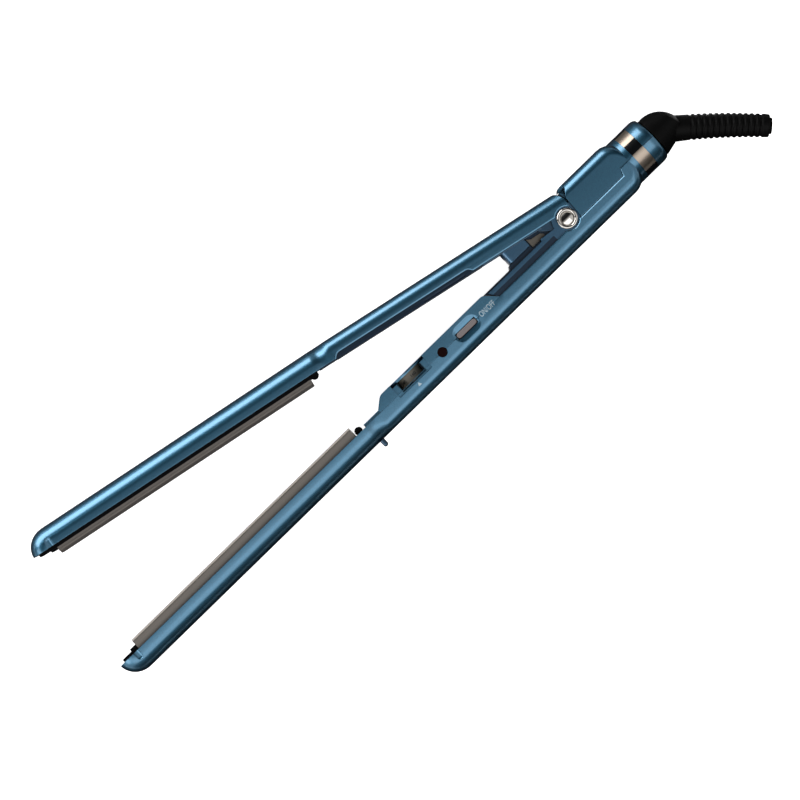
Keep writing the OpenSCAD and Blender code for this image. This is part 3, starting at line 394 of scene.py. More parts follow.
GREY_RESIN = MouldedResin("warm_grey_resin", "6c6464", roughness=0.42, spark_depth_mm=0.003)
DRUM_RESIN = MouldedResin("drum_grey_resin", "6e685c", roughness=0.5, spark_depth_mm=0.003)
# Inks of the printed marks
SILVER_INK = Finish("silver_pad_print", "9db0ba", roughness=0.45, grain_mm=0.15,
                    grain_depth_mm=0.003)
BLACK_INK = Finish("black_pad_print", "0c0b0a", roughness=0.5, grain_mm=0.15,
                   grain_depth_mm=0.003)
# Cards of the studio
BLACK_CARD = Finish("black_card", "1c1c1c", roughness=0.9)
GREY_CARD = Finish("grey_card", "5a5a5a", roughness=0.9)

SLOT_FINISH = {
    "blue_shell": LACQUER, "dark_blue_resin": DARK_LACQUER, "black_heatproof_resin": TRAY_RESIN,
    "black_resin": BLACK_RESIN, "black_rubber": RUBBER, "titanium_coated_plate": TITANIUM,
    "heater_ceramic": CERAMIC, "silicone_pad": SILICONE, "steel": STEEL, "chrome_cap": CHROME,
    "champagne_silver": CHAMPAGNE, "contact_brass": BRASS, "board_laminate": LAMINATE,
    "led_resin": LED_RESIN, "dark_red_lens": LENS, "grey_button": GREY_RESIN,
    "grey_drum": DRUM_RESIN,
}


# ---------------- studio

def facing(right: Vector, back: Vector, place: Sequence[float]) -> Matrix:
    """Returns the matrix of a camera or lamp.

    Args:
        right: Unit vector to its right.
        back: Unit vector from what it faces to it.
        place: Where it is, in metres.
    """
    turn = Matrix((right, back.cross(right), back)).transposed().to_4x4()
    return Matrix.Translation(place) @ turn


def level_sheet(x: Pair, y: Pair, z: float) -> list[Vector]:
    """Returns the corners of a level sheet between two x and two y at a height, in metres."""
    return [Vector((x[i], y[j], z)) for i, j in ((0, 0), (1, 0), (1, 1), (0, 1))]


@dataclass(frozen=True)
class Studio:
    """Pale floor, soft lamps, graded surroundings and the camera, in metres."""

    centre: Pair = (-0.1031, -0.0055)
    height: float = 1.3
    top: float = 0.022
    view_mm: float = 334.4
    sensor_mm: float = 36.0
    clip: Pair = (0.05, 20.0)
    across: Pair = (0.7157, -0.6984)
    floor_half: float = 6.0
    paper_white: float = 0.92
    paper_lift: float = 0.9
    card_x: Pair = (-0.42, 0.2)
    card_lift: float = 0.0002
    under_y: Pair = (-0.22, -0.004)
    behind_y: Pair = (0.006, 0.5)
    beside_x: Pair = (-0.7, 0.5)
    beside_y: float = -0.45
    beside_z: Pair = (0.0, 0.16)
    aim: Triple = (-0.1, 0.0, 0.011)
    # Brightness of the surroundings by the sine of the angle from the floor's normal, towards +Y
    room: tuple[Pair, ...] = (
        (-1.0, 0.10), (-0.75, 0.12), (-0.6, 0.82), (-0.08, 0.82), (0.0, 0.46), (0.08, 0.14),
        (0.2, 0.02), (0.55, 0.03), (0.75, 0.4), (1.0, 0.3))

    def build(self) -> None:
        """Makes the camera, the floor, the cards, the lamps and the world."""
        self.camera()
        self.floor()
        self.cards()
        self.lamps()
        self.world()

    def camera(self) -> None:
        """Sets up the camera, which looks straight down on the tool lying on its side."""
        data = bpy.data.cameras.new("camera")
        data.sensor_width = self.sensor_mm
        data.lens = self.sensor_mm * self.height / (self.view_mm * MM)
        data.clip_start, data.clip_end = self.clip
        made = bpy.data.objects.new("camera", data)
        bpy.context.scene.collection.objects.link(made)
        right = Vector((*self.across, 0)).normalized()
        made.matrix_world = facing(right, Vector((0, 0, 1)), (*self.centre, self.top + self.height))
        bpy.context.scene.camera = made

    def stage_sheet(self, name: str, corners: Sequence[Vector],
                    material: bpy.types.Material) -> Piece:
        """Adds one flat sheet of the studio.

        Args:
            name: Name of the sheet.
            corners: Its four corners in order, in metres.
            material: What it is covered with.

        Returns:
            The sheet, which isn't part of the tool.
        """
        mesh = bmesh.new()
        mesh.faces.new([mesh.verts.new(c) for c in corners])
        data = bpy.data.meshes.new(name)
        mesh.to_mesh(data)
        mesh.free()
        data.materials.append(material)
        made = bpy.data.objects.new(name, data)
        bpy.context.scene.collection.objects.link(made)
        return made

    def floor(self) -> None:
        """Lays the floor: white paper that keeps the tool's shadow."""
        paper = bpy.data.materials.new("studio_paper")
        paper.use_nodes = True
        tree = paper.node_tree
        tree.nodes.clear()
        lit = add_node(tree, "ShaderNodeBsdfDiffuse", inputs={
            "Color": (self.paper_white, self.paper_white, self.paper_white, 1)})
        rays = add_node(tree, "ShaderNodeLightPath").outputs
        seen = add_math(tree, "MAXIMUM", rays["Is Camera Ray"], rays["Is Glossy Ray"])
        seen = add_math(tree, "MAXIMUM", seen, rays["Is Transmission Ray"])
        glow = add_node(tree, "ShaderNodeEmission", inputs={
            "Color": (1, 1, 1, 1), "Strength": add_math(tree, "MULTIPLY", seen, self.paper_lift)})
        both = add_node(tree, "ShaderNodeAddShader", inputs={0: lit.outputs[0], 1: glow.outputs[0]})
        add_node(tree, "ShaderNodeOutputMaterial", inputs={"Surface": both.outputs[0]})
        reach = (-self.floor_half, self.floor_half)
        self.stage_sheet("floor", level_sheet(reach, reach, 0), paper)

    def cards(self) -> None:
        """Sets up the dark cards, seen in reflections only, that give the tool dark edges."""
        beside = [Vector((self.beside_x[i], self.beside_y, self.beside_z[j]))
                  for i, j in ((0, 0), (1, 0), (1, 1), (0, 1))]
        for name, corners, finish in (
                ("card_under", level_sheet(self.card_x, self.under_y, self.card_lift), BLACK_CARD),
                ("card_behind", level_sheet(self.card_x, self.behind_y, self.card_lift), GREY_CARD),
                ("card_beside", beside, BLACK_CARD)):
            made = self.stage_sheet(name, corners, finish.material())
            made.visible_camera = made.visible_diffuse = made.visible_shadow = False
            made.visible_transmission = made.visible_volume_scatter = False

    def lamp(self, name: str, place: Triple, size: Pair, level: float) -> None:
        """Adds one soft box that faces the tool.

        Args:
            name: Name of the lamp.
            place: Where it hangs, in metres.
            size: Length along the tool and width of its face, in metres.
            level: Brightness of its face, where 1 is white.
        """
        data = bpy.data.lights.new(name, "AREA")
        data.shape = "RECTANGLE"
        data.size, data.size_y = size
        data.energy = level * math.pi * size[0] * size[1]
        made = bpy.data.objects.new(name, data)
        back = (Vector(place) - Vector(self.aim)).normalized()
        along = Vector((1, 0, 0)) - back * back.x
        along.normalize()
        made.matrix_world = facing(along, back, place)
        bpy.context.scene.collection.objects.link(made)

    def lamps(self) -> None:
        """Hangs the soft boxes: over the near side, low behind the far side, low by the tips."""
        self.lamp("soft_box_over", place=(-0.22, -0.46, 0.95), size=(1.3, 0.66), level=1.3)
        self.lamp("soft_box_beside", place=(-0.32, 1.0, 0.48), size=(1.3, 0.66), level=5.4)
        self.lamp("soft_box_ahead", place=(-1.0, 0.1, 0.6), size=(0.5, 1.0), level=2.6)

    def world(self) -> None:
        """Makes the graded surroundings, which are white where they are seen."""
        world = bpy.data.worlds.new("white_room")
        world.use_nodes = True
        tree = world.node_tree
        tree.nodes.clear()
        rays = add_node(tree, "ShaderNodeLightPath")
        towards = add_node(tree, "ShaderNodeTexCoord").outputs["Generated"]
        side = add_node(tree, "ShaderNodeSeparateXYZ", inputs={"Vector": towards}).outputs["Y"]
        share = add_node(tree, "ShaderNodeMapRange", inputs={"Value": side, "From Min": -1.0})
        stops = [((at + 1) / 2, (level,) * 3) for at, level in self.room]
        grade = add_ramp(tree, share.outputs["Result"], stops, "EASE")
        level = add_node(tree, "ShaderNodeMapRange", inputs={
            "Value": rays.outputs["Is Camera Ray"], "To Min": grade, "To Max": 1.0})
        back = add_node(tree, "ShaderNodeBackground", inputs={
            "Color": (1, 1, 1, 1), "Strength": level.outputs["Result"]})
        add_node(tree, "ShaderNodeOutputWorld", inputs={"Surface": back.outputs["Background"]})
        bpy.context.scene.world = world
        bpy.context.scene.view_settings.view_transform = "Standard"


# ---------------- shared steps

SLOT_OF = {row["node"]: row["material_slot"] for row in frame["record"]["subparts"]}
BODY_OF = {node: body for body, nodes in frame["record"]["behaviour"]["bodies"].items()
           for node in nodes}


def place_piece(name: str, mesh: Mesh, body: str, finishes: Sequence[Finish],
                replaced: Sequence[str] = (), slot: str | None = None, crease_deg: float = 32.0,
                subdivide: int = 0) -> Piece:
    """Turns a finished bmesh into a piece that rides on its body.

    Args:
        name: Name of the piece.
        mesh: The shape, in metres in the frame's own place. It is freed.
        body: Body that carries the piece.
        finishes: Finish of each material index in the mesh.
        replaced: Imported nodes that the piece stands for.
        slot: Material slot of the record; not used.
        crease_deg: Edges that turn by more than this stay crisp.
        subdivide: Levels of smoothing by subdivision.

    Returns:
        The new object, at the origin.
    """
    mesh.normal_update()
    for face in mesh.faces:
        face.smooth = True
    for edge in mesh.edges:
        edge.smooth = edge.is_manifold and edge.calc_face_angle(0.0) < math.radians(crease_deg)
    data = bpy.data.meshes.new(name)
    mesh.to_mesh(data)
    mesh.free()
    made = bpy.data.objects.new(name, data)
    bpy.context.scene.collection.objects.link(made)
    for finish in finishes:
        data.materials.append(finish.material())
    if subdivide:
        rounding = made.modifiers.new("rounding", "SUBSURF")
        rounding.levels = rounding.render_levels = subdivide
    made.modifiers.new("even_shading", "WEIGHTED_NORMAL").keep_sharp = True
    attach(made, body)
    if replaced:
        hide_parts(*replaced)
    log.info("%s: %d faces on %s", name, len(data.polygons), body)
    return made


def stand_in(node: str, mesh: Mesh, finishes: Sequence[Finish], **shading: float) -> Piece:
    """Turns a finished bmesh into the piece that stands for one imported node.

    Args:
        node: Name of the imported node.
        mesh: The shape, as place_piece takes it.
        finishes: Finish of each material index in the mesh.
        shading: What place_piece is told of creases and subdivision.

    Returns:
        The new object, at the origin.
    """
    return place_piece(f"{node}_dressed", mesh, BODY_OF[node], finishes, [node], SLOT_OF[node],
                       **shading)


def flat_faces(mesh: Mesh, out_mm: float) -> list[Face]:
    """Returns the flat faces across the tool's thickness, at least out_mm from its middle."""
    mesh.normal_update()
    return [f for f in mesh.faces if abs(f.normal.z) > LEVEL_NORMAL
            and abs(f.calc_center_median().z / MM - MIDDLE_Z) > out_mm]


def split_faces(mesh: Mesh, faces: Sequence[Face], place_mm: Sequence[float],
                normal: Sequence[float]) -> None:
    """Splits faces along a plane.

    Args:
        mesh: The mesh that has the faces.
        faces: The faces to split.
        place_mm: A point on the plane.
        normal: The plane's normal.
    """
    parts = [*faces, *{e for f in faces for e in f.edges}, *{v for f in faces for v in f.verts}]
    bmesh.ops.bisect_plane(mesh, geom=parts, dist=WELD_MM * MM,
                           plane_co=Vector(place_mm) * MM, plane_no=normal)


def grow(mesh: Mesh, faces: Sequence[Face]) -> list[bmesh.types.BMVert]:
    """Extrudes faces in place and returns the new points, which are still to be moved."""
    grown = bmesh.ops.extrude_face_region(mesh, geom=faces)["geom"]
    return [g for g in grown if isinstance(g, bmesh.types.BMVert)]


def round_edges(mesh: Mesh, edges: Sequence[bmesh.types.BMEdge], width_mm: float, segments: int,
                clamp: bool) -> None:
    """Bevels edges.

    Args:
        mesh: The mesh that has them.
        edges: The edges.
        width_mm: How far the bevel goes to either side of the edge.
        segments: Number of facets across it.
        clamp: Whether it stops where it would meet the next one.
    """
    bmesh.ops.bevel(mesh, geom=edges, offset=width_mm * MM, offset_type="OFFSET", affect="EDGES",
                    segments=segments, profile=0.5, material=-1, clamp_overlap=clamp)


def lathe(points: Sequence[Triple], axis: Triple, steps: int) -> Mesh:
    """Turns a half section about an axis through the origin.

    Args:
        points: The section's points in order, in mm.
        axis: Direction of the axis.
        steps: Number of facets round it.

    Returns:
        The turned shape, in metres.
    """
    mesh = bmesh.new()
    verts = [mesh.verts.new([c * MM for c in point]) for point in points]
    edges = [mesh.edges.new(pair) for pair in zip(verts, verts[1:])]
    bmesh.ops.spin(mesh, geom=verts + edges, cent=(0, 0, 0), axis=axis, angle=2 * math.pi,
                   steps=steps, use_merge=True)
    bmesh.ops.remove_doubles(mesh, verts=mesh.verts, dist=WELD_MM * MM)
    bmesh.ops.recalc_face_normals(mesh, faces=mesh.faces)
    return mesh


def seam_block(mesh: Mesh, x: Pair, width: float, z: Pair) -> None:
    """Adds a plain block on the control cover's parting line.

    Args:
        mesh: The mesh that takes it.
        x: Its two ends along the line, in mm.
        width: Its size across the line, in mm.
        z: Its lowest and highest place, in mm.
    """
    middle = Vector((sum(x) / 2, SEAM_Y, sum(z) / 2)) * MM
    size = Matrix.Diagonal(((x[1] - x[0]) * MM, width * MM, (z[1] - z[0]) * MM, 1))
    bmesh.ops.create_cube(mesh, size=1.0, matrix=Matrix.Translation(middle) @ size)


# ---------------- mouldings

@dataclass(frozen=True)
class Draft:
    """Taper of a shell's sides away from its rim, which lets the moulding leave its tool."""

    rim: Pair
    outward: Pair
    degrees: float = 2.2
    end_mm: Pair = (22.0, 32.0)

    def apply(self, mesh: Mesh) -> None:
        """Draws the shell's two sides in towards its outer edge.

        Args:
            mesh: The shell, in the frame's own place.
        """
        start = Vector((*self.rim, 0)) * MM
        out = Vector((*self.outward, 0)).normalized()
        per_metre = math.tan(math.radians(self.degrees)) / (MIDDLE_Z * MM)
        for vert in mesh.verts:
            depth = max(0.0, (vert.co - start).dot(out))
            near_end = (vert.co.x / MM - self.end_mm[0]) / (self.end_mm[1] - self.end_mm[0])
            depth *= 1 - min(1.0, max(0.0, near_end))
            vert.co.z += (MIDDLE_Z * MM - vert.co.z) * per_metre * depth


@dataclass(frozen=True)
class RolledRim:
    """Rim of a shell whose flat face rolls down before its edge, so that it catches the light."""

    facing: Pair
    width_mm: float
    drop_mm: float
    plain_x: Pair
    face_mm: float = 10.99
    steep: float = 0.2
    towards: float = 0.3

    def apply(self, mesh: Mesh) -> None:
        """Insets the two flat faces and lowers their edge over walls that face the given way.

        Args:
            mesh: The shell, in the frame's own place.
        """
        way = Vector((*self.facing, 0)).normalized()
        low, high = self.plain_x
        for x in self.plain_x:
            split_faces(mesh, flat_faces(mesh, self.face_mm), (x, 0, 0), (1, 0, 0))
        flats = [f for f in flat_faces(mesh, self.face_mm)
                 if not low < f.calc_center_median().x / MM < high]
        bmesh.ops.inset_region(mesh, faces=flats, thickness=self.width_mm * MM,
                               use_even_offset=True, use_boundary=True)
        mesh.normal_update()
        walls = [f for f in mesh.faces
                 if abs(f.normal.z) < self.steep and f.normal.dot(way) > self.towards]
        for vert in {v for f in walls for v in f.verts}:
            side = vert.co.z / MM - MIDDLE_Z
            plain = low - SLACK_MM < vert.co.x / MM < high + SLACK_MM
            if abs(side) > self.face_mm and not plain:
                vert.co.z -= math.copysign(self.drop_mm * MM, side)


@dataclass(frozen=True)
class Channel:
    """Shallow channel along the outer faces of the hinge frame, whose floor leans and carries
    painted shade in a darker navy.
    """

    top_y: float = -1.2
    low_y: float = SEAM_Y
    end_x: float = -9.0
    step_mm: float = 0.12
    lean_deg: float = 13.0
    face_mm: float = 9.15

    def apply(self, mesh: Mesh) -> None:
        """Cuts the channel into both faces, and gives its floor the second finish, a darker navy
        that is painted shade.

        Args:
            mesh: The frame, in its own place.
        """
        split_faces(mesh, flat_faces(mesh, self.face_mm), (0, self.top_y, 0), (0, 1, 0))
        split_faces(mesh, flat_faces(mesh, self.face_mm), (self.end_x, 0, 0), (1, 0, 0))
        floor = [f for f in flat_faces(mesh, self.face_mm)
                 if max(v.co.y for v in f.verts) < (self.top_y + SLACK_MM) * MM
                 and max(v.co.x for v in f.verts) < (self.end_x + SLACK_MM) * MM]
        # The floor's faces take the second finish: a darker navy that is painted shade, standing in
        # for the recess's shadow.
        for face in floor:
            face.material_index = 1
        lean = math.tan(math.radians(self.lean_deg))
        for vert in grow(mesh, floor):
            depth = self.step_mm + lean * max(0.0, vert.co.y / MM - self.low_y)
            vert.co.z -= math.copysign(depth * MM, vert.co.z / MM - MIDDLE_Z)


@dataclass(frozen=True)
class Moulding:
    """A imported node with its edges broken, as a mould's parting edges and draft leave them."""

    node: str
    finish: Finish
    edge_mm: float
    weld_mm: float = 0.03
    segments: int = 2
    sharp_deg: float = 30.0
    crease_deg: float = 32.0
    draft: Draft | None = None
    rim: RolledRim | Channel | None = None
    # Finish of faces given material index 1; on the hinge frame it is painted shade on the channel
    # floor
    second: Finish | None = None
    subdivide: int = 0
    plain_beyond_mm: float = 1000.0
    crumb_mm: float = 0.002
    level_deg: float = 0.8

    def shape(self) -> Mesh:
        """Returns the node's merged shape with its sharp edges bevelled."""
        mesh = bmesh.new()
        mesh.from_mesh(frame["nodes"][self.node].data)
        bmesh.ops.remove_doubles(mesh, verts=mesh.verts, dist=self.weld_mm * MM)
        bmesh.ops.dissolve_degenerate(mesh, dist=self.crumb_mm * MM, edges=mesh.edges)
        bmesh.ops.dissolve_limit(mesh, angle_limit=math.radians(self.level_deg), verts=mesh.verts,
                                 edges=mesh.edges, use_dissolve_boundaries=False,
                                 delimit={"NORMAL"})
        if self.rim:
            self.rim.apply(mesh)
        if self.edge_mm > 0:
            sharp = [e for e in mesh.edges if e.is_manifold
                     and e.calc_face_angle(0.0) > math.radians(self.sharp_deg)
                     and max(v.co.x for v in e.verts) < self.plain_beyond_mm * MM]
            round_edges(mesh, sharp, self.edge_mm, self.segments, clamp=False)
        if self.draft:
            self.draft.apply(mesh)
        return mesh

    def build(self) -> Piece:
        """Returns the dressed piece, which stands for its node."""
        finishes = [self.finish] + ([self.second] if self.second else [])
        return stand_in(self.node, self.shape(), finishes, crease_deg=self.crease_deg,
                        subdivide=self.subdivide)


# Angle between the upper shell's rim, as it stands open, and the X axis
LEAN = math.radians(11.5)
LOWER_DRAFT = Draft(rim=(0.0, SEAM_Y), outward=(0.0, -1.0), degrees=3.0)
REAR_DRAFT = Draft(rim=(0.0, -0.33), outward=(0.0, 1.0), degrees=3.0)
UPPER_DRAFT = Draft(rim=(0.0, 4.2), outward=(math.sin(LEAN), math.cos(LEAN)))
# Between the two x of plain_x a rim is plain: along the plate, and under the control cover
LOWER_RIM = RolledRim((0.0, 1.0), width_mm=0.45, drop_mm=0.24, plain_x=(-300.0, -42.0))
UPPER_RIM = RolledRim((-math.sin(LEAN), -math.cos(LEAN)), width_mm=0.6, drop_mm=0.16,
                      plain_x=(-300.0, -115.5))
MOULDINGS = (
    Moulding("control_cover", LACQUER, edge_mm=0.12),
    Moulding("rear_cover", LACQUER, edge_mm=0.2, draft=REAR_DRAFT, plain_beyond_mm=COLLAR_X),
    Moulding("lower_housing", LACQUER, edge_mm=0.14, draft=LOWER_DRAFT, rim=LOWER_RIM,
             plain_beyond_mm=COLLAR_X),
    Moulding("upper_housing", LACQUER, edge_mm=0.14, draft=UPPER_DRAFT, rim=UPPER_RIM),
    # The navy second finish on the channel floor is painted shade in the recess
    Moulding("hinge_frame", FRAME_LACQUER, edge_mm=0.15, rim=Channel(), second=NAVY_LACQUER),
    Moulding("upper_frame", DARK_LACQUER, edge_mm=0.2),
    Moulding("guide_post", FRAME_LACQUER, edge_mm=0.3, segments=3),
    Moulding("upper_cover", NAVY_LACQUER, edge_mm=0.12),
    Moulding("post_base", NAVY_LACQUER, edge_mm=0.12),
    Moulding("band_ring", BLACK_RESIN, edge_mm=0.12),
    Moulding("lower_holder", TRAY_RESIN, edge_mm=0.12),
    Moulding("upper_holder", TRAY_RESIN, edge_mm=0.12),
    Moulding("lower_plate", TITANIUM, edge_mm=0.04),
    Moulding("upper_plate", TITANIUM, edge_mm=0.04),
    Moulding("spring_bracket", DARK_STEEL, edge_mm=0.1),
    Moulding("silver_badges", CHAMPAGNE, edge_mm=0.08),
    Moulding("silver_cuffs", CHAMPAGNE, edge_mm=0.08),
    Moulding("dial_disc", LACQUER, edge_mm=0.05, weld_mm=0.004),
    Moulding("swivel_boot", RUBBER, edge_mm=0.25, segments=3, sharp_deg=24, crease_deg=50),
    Moulding("opening_spring", STEEL, edge_mm=0.0, weld_mm=0.001, crease_deg=180, subdivide=1),
    Moulding("led_lens", LENS, edge_mm=0.25, segments=3, weld_mm=0.004),
)


# ---------------- pieces made anew

@dataclass(frozen=True)
class RibbedSleeve:
    """Strain relief of the cord, slightly bent: smooth root, square-cut ribs and bored mouth."""

    start: Pair = (56.15, -1.66)
    first_deg: float = -37.7
    bend_deg: float = -9.0
    seat: float = 2.05
    length: float = 44.4
    root_d: float = 11.4
    mouth_d: float = 9.8
    smooth: float = 10.5
    smooth_end: Pair = (0.3, 0.1)
    tail: float = 2.0
    ribs: int = 13
    lip_r: float = 3.5
    lip_len: float = 1.0
    lip_round: float = 0.2
    bore_r: float = 2.8
    bore_len: float = 12.0
    bore_round: float = 0.15
    steps: int = 72
    # Section of one rib: shares of its pitch, and depths under the sleeve's surface in mm
    section: tuple[Pair, ...] = (
        (0.05, 0.10), (0.10, 0.30), (0.16, 0.45), (0.40, 0.45), (0.48, 0.36), (0.53, 0.12),
        (0.60, 0.02), (0.72, 0.0), (0.90, 0.0), (0.98, 0.03))
    # Shoulder at the mouth: distances before the end, and depths under the surface, in mm
    shoulder: tuple[Pair, ...] = ((0.8, 0.0), (0.3, 0.12), (0.05, 0.5))

    def radius(self, along: float) -> float:
        """Returns the outer radius at a distance along the sleeve, in mm."""
        return (self.root_d + (self.mouth_d - self.root_d) * along / self.length) / 2

    def profile(self) -> list[Pair]:
        """Returns the half section: distances along the sleeve and radii, in mm."""
        pitch = (self.length - self.smooth - self.tail) / self.ribs
        back, depth = self.smooth_end
        points = [(self.seat, 0.0), (self.seat, self.radius(0)),
                  (self.smooth - back, self.radius(self.smooth) - depth)]
        for rib in range(self.ribs):
            at = self.smooth + pitch * rib
            points += [(at + share * pitch, self.radius(at) - depth)
                       for share, depth in self.section]
        end, tip = self.length, self.length + self.lip_len
        points += [(end - back, self.radius(end) - depth) for back, depth in self.shoulder]
        points += [(end, self.lip_r + self.lip_round), (end + self.lip_round, self.lip_r),
                   (tip - self.lip_round, self.lip_r), (tip, self.lip_r - self.lip_round)]
        points += [(tip, self.bore_r + self.bore_round), (tip - self.bore_round, self.bore_r),
                   (tip - self.bore_len, self.bore_r), (tip - self.bore_len, 0.0)]
        return points

    def bend(self, mesh: Mesh) -> None:
        """Lays the straight sleeve along its arc.

        Args:
            mesh: The sleeve along the X axis, in metres.
        """
        radius = -self.length / math.radians(self.bend_deg)
        first = math.radians(self.first_deg)
        for vert in mesh.verts:
            along, side = vert.co.x / MM, vert.co.y / MM
            turn = first + math.radians(self.bend_deg) * along / self.length
            x = self.start[0] + radius * (math.sin(first) - math.sin(turn)) - side * math.sin(turn)
            y = self.start[1] - radius * (math.cos(first) - math.cos(turn)) + side * math.cos(turn)
            vert.co = Vector((x * MM, y * MM, vert.co.z + MIDDLE_Z * MM))

    def build(self) -> Piece:
        """Returns the sleeve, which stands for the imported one."""
        mesh = lathe([(x, y, 0) for x, y in self.profile()], (1, 0, 0), self.steps)
        self.bend(mesh)
        return stand_in("cord_sleeve", mesh, [RUBBER], crease_deg=40)


@dataclass(frozen=True)
class HingeCap:
    """Chrome cap over the pin: a rounded ring, a groove and a domed disc, turned in one piece."""

    foot_z: float = 20.25
    top_z: float = 22.4
    radius: float = 4.5
    disc_r: float = 2.85
    disc_gap: float = 0.1
    dome: float = 0.7
    groove: float = 0.9
    rounding: float = 0.7
    round_steps: int = 10
    dome_steps: int = 24
    steps: int = 128

    def profile(self) -> list[Pair]:
        """Returns the half section as radii and heights, in mm."""
        outer = self.radius - self.rounding
        inner = self.disc_r + self.disc_gap + self.rounding
        crest = self.top_z - self.rounding
        bend = [math.radians(90 / self.round_steps * i) for i in range(self.round_steps + 1)]
        points = [(0.0, self.foot_z), (self.radius, self.foot_z)]
        points += [(outer + self.rounding * math.cos(a), crest + self.rounding * math.sin(a))
                   for a in bend]
        points += [(inner - self.rounding * math.sin(a), crest + self.rounding * math.cos(a))
                   for a in bend]
        for i in range(self.dome_steps, -1, -1):
            share = i / self.dome_steps
            height = self.top_z - self.groove + self.dome * (1 - share * share)
            points.append((self.disc_r * share, height))
        return points

    def build(self) -> Piece:
        """Returns the cap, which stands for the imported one."""
        mesh = lathe([(r, 0, z) for r, z in self.profile()], (0, 0, 1), self.steps)
        return stand_in("pivot_cap_near", mesh, [CHROME], crease_deg=40)


@dataclass(frozen=True)
class PushButton:
    """Push button: a grey key with round ends and a crowned face on a black flange."""

    key_x: Pair = (-67.5, -56.9)
    key_width: float = 2.4
    key_z: Pair = (20.0, 21.85)
    flange_x: Pair = (-68.45, -55.95)
    flange_width: float = 3.6
    flange_z: Pair = (19.2, 20.1)
    end_share: float = 0.48
    end_segments: int = 8
    crown_mm: float = 0.35
    crown_segments: int = 4
    corner: float = 0.5

    def build(self) -> Piece:
        """Returns the button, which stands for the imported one."""
        mesh = bmesh.new()
        seam_block(mesh, self.key_x, self.key_width, self.key_z)
        uprights = [e for e in mesh.edges
                    if abs(e.verts[0].co.z - e.verts[1].co.z) > SLACK_MM * MM]
        round_edges(mesh, uprights, self.key_width * self.end_share, self.end_segments, clamp=True)
        top = (self.key_z[1] - WELD_MM) * MM
        crown = [e for e in mesh.edges
                 if min(v.co.z for v in e.verts) > top and e.calc_face_angle(0.0) > self.corner]
        round_edges(mesh, crown, self.crown_mm, self.crown_segments, clamp=True)
        key_faces = set(mesh.faces)
        seam_block(mesh, self.flange_x, self.flange_width, self.flange_z)
        for face in mesh.faces:
            face.material_index = int(face not in key_faces)
        return stand_in("power_button", mesh, [GREY_RESIN, BLACK_RESIN], crease_deg=50)


@dataclass(frozen=True)
class Print:
    """Flat letters or figures in ink, fitted to a box of the given size in mm."""

    words: str
    width: float
    height: float
    bold: float = 0.0
    ink_mm: float = 0.02
    curve_steps: int = 5

    def letters(self) -> Mesh:
        """Returns the outlines of the words as flat faces."""
        curve = bpy.data.curves.new("letters", "FONT")
        curve.body = self.words
        curve.resolution_u = self.curve_steps
        curve.offset = self.bold
        holder = bpy.data.objects.new("letters", curve)
        bpy.context.scene.collection.objects.link(holder)
        depsgraph = bpy.context.evaluated_depsgraph_get()
        flat = bpy.data.meshes.new_from_object(holder.evaluated_get(depsgraph))
        mesh = bmesh.new()
        mesh.from_mesh(flat)
        bpy.data.objects.remove(holder)
        bpy.data.curves.remove(curve)
        bpy.data.meshes.remove(flat)
        return mesh

    def shape(self) -> Mesh:
        """Returns the letters as a thin film round the origin, in the XY plane."""
        mesh = self.letters()
        low = Vector([min(v.co[i] for v in mesh.verts) for i in range(2)] + [0])
        high = Vector([max(v.co[i] for v in mesh.verts) for i in range(2)] + [0])
        bmesh.ops.translate(mesh, verts=mesh.verts, vec=-(low + high) / 2)
        span = high - low
        bmesh.ops.scale(mesh, verts=mesh.verts,
                        vec=(self.width * MM / span.x, self.height * MM / span.y, 1))
        bmesh.ops.translate(mesh, verts=grow(mesh, mesh.faces[:]), vec=(0, 0, self.ink_mm * MM))
        bmesh.ops.recalc_face_normals(mesh, faces=mesh.faces)
        return mesh


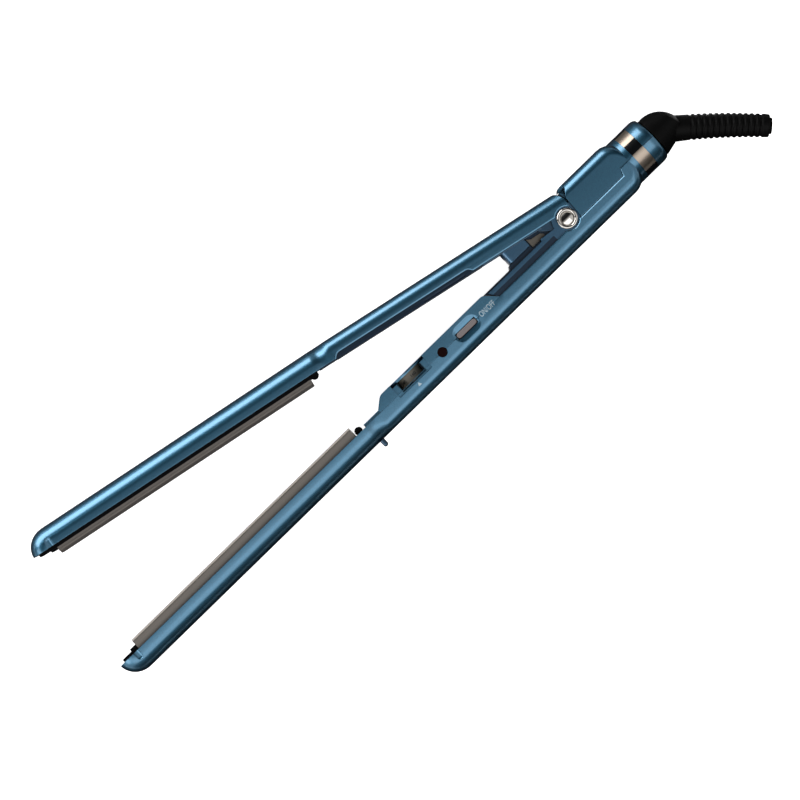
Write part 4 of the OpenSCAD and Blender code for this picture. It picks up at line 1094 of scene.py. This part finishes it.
@dataclass(frozen=True)
class Marks:
    """The plain marks on the tool: the switch's words, the dial's pointer and its figures."""

    words_box: Pair = (8.1, 2.5)
    words_at: Pair = (-50.4, -3.5)
    pointer_at: Pair = (-92.6, -6.5)
    pointer_r: float = 1.05
    pointer_mm: float = 0.03
    sunk_mm: float = 0.01
    lift_mm: float = 0.01
    drum_at: Pair = (-93.0, -1.55)
    drum_r: float = 6.0
    dial_z: float = 12.8
    drum_words: tuple[str, ...] = ("120", "140", "160", "180", "200", "220")
    figure_box: Pair = (2.6, 1.35)
    figure_bold: float = 0.02
    figure_shift: float = 1.5
    figure_step_deg: float = 54.0
    figure_at_rest: int = 2

    def build(self) -> None:
        """Prints every mark."""
        self.switch_words()
        self.pointer()
        self.figures()

    def switch_words(self) -> Piece:
        """Returns the words beside the push button."""
        mesh = Print("ON/OFF", *self.words_box).shape()
        bmesh.ops.translate(mesh, verts=mesh.verts, vec=Vector((*self.words_at, FACE_Z)) * MM)
        return place_piece("switch_words", mesh, "lower_arm", [SILVER_INK])

    def pointer(self) -> Piece:
        """Returns the small triangle that points at the dial's figures."""
        place = Vector((*self.pointer_at, FACE_Z - self.sunk_mm)) * MM
        mesh = bmesh.new()
        bmesh.ops.create_circle(mesh, cap_ends=True, radius=self.pointer_r * MM, segments=3,
                                matrix=Matrix.Translation(place))
        bmesh.ops.translate(mesh, verts=grow(mesh, mesh.faces[:]),
                            vec=(0, 0, self.pointer_mm * MM))
        LOWER_DRAFT.apply(mesh)
        bmesh.ops.recalc_face_normals(mesh, faces=mesh.faces)
        return place_piece("dial_pointer", mesh, "lower_arm", [SILVER_INK])

    def figures(self) -> Piece:
        """Returns the figures round the dial's drum, one of which shows at rest."""
        whole = bmesh.new()
        for number, words in enumerate(self.drum_words):
            mesh = Print(words, *self.figure_box, bold=self.figure_bold).shape()
            middle = math.radians(self.figure_step_deg) * (number - self.figure_at_rest)
            for vert in mesh.verts:
                turn = (vert.co.x / MM + self.figure_shift) / self.drum_r + middle
                out = self.drum_r + self.lift_mm + vert.co.z / MM
                vert.co = Vector((self.drum_at[0] + out * math.sin(turn),
                                  self.drum_at[1] + vert.co.y / MM,
                                  self.dial_z + out * math.cos(turn))) * MM
            part = bpy.data.meshes.new("figures_part")
            mesh.to_mesh(part)
            mesh.free()
            whole.from_mesh(part)
            bpy.data.meshes.remove(part)
        return place_piece("dial_figures", whole, "dial", [BLACK_INK])


@dataclass(frozen=True)
class CoverLips:
    """Lips behind the control cover's parting line and beads in it, which keep light out."""

    lip_x: tuple[Pair, ...] = ((-111.5, -104.0), (-85.5, -79.8), (-73.0, -69.6), (-54.8, -46.2))
    lip_width: float = 1.8
    lip_z: tuple[Pair, ...] = ((1.65, 2.45), (19.55, 20.35))
    bead_x: tuple[Pair, ...] = ((-121.2, -79.8), (-73.0, -69.6), (-54.8, -43.3))
    bead_width: float = 0.2
    bead_z: tuple[Pair, ...] = ((0.08, 1.65), (20.35, 21.92))

    def build(self) -> Piece:
        """Returns the lips and beads of both sides as one piece."""
        mesh = bmesh.new()
        for runs, width, sides in ((self.lip_x, self.lip_width, self.lip_z),
                                   (self.bead_x, self.bead_width, self.bead_z)):
            for x in runs:
                for z in sides:
                    seam_block(mesh, x, width, z)
        return place_piece("control_cover_lips", mesh, "lower_arm", [LACQUER])


# ---------------- the whole tool

def dress_frame() -> None:
    """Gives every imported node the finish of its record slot."""
    for name, piece in frame["nodes"].items():
        piece.data.materials.clear()
        piece.data.materials.append(SLOT_FINISH[SLOT_OF[name]].material())


def main() -> None:
    """Builds the studio and every piece, and reports them."""
    logging.basicConfig(level=logging.INFO, format="%(name)s: %(message)s")
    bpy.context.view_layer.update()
    Studio().build()
    dress_frame()
    for piece in (*MOULDINGS, RibbedSleeve(), PushButton(), HingeCap(), Marks(), CoverLips()):
        piece.build()


if __name__ == "__main__":
    main()
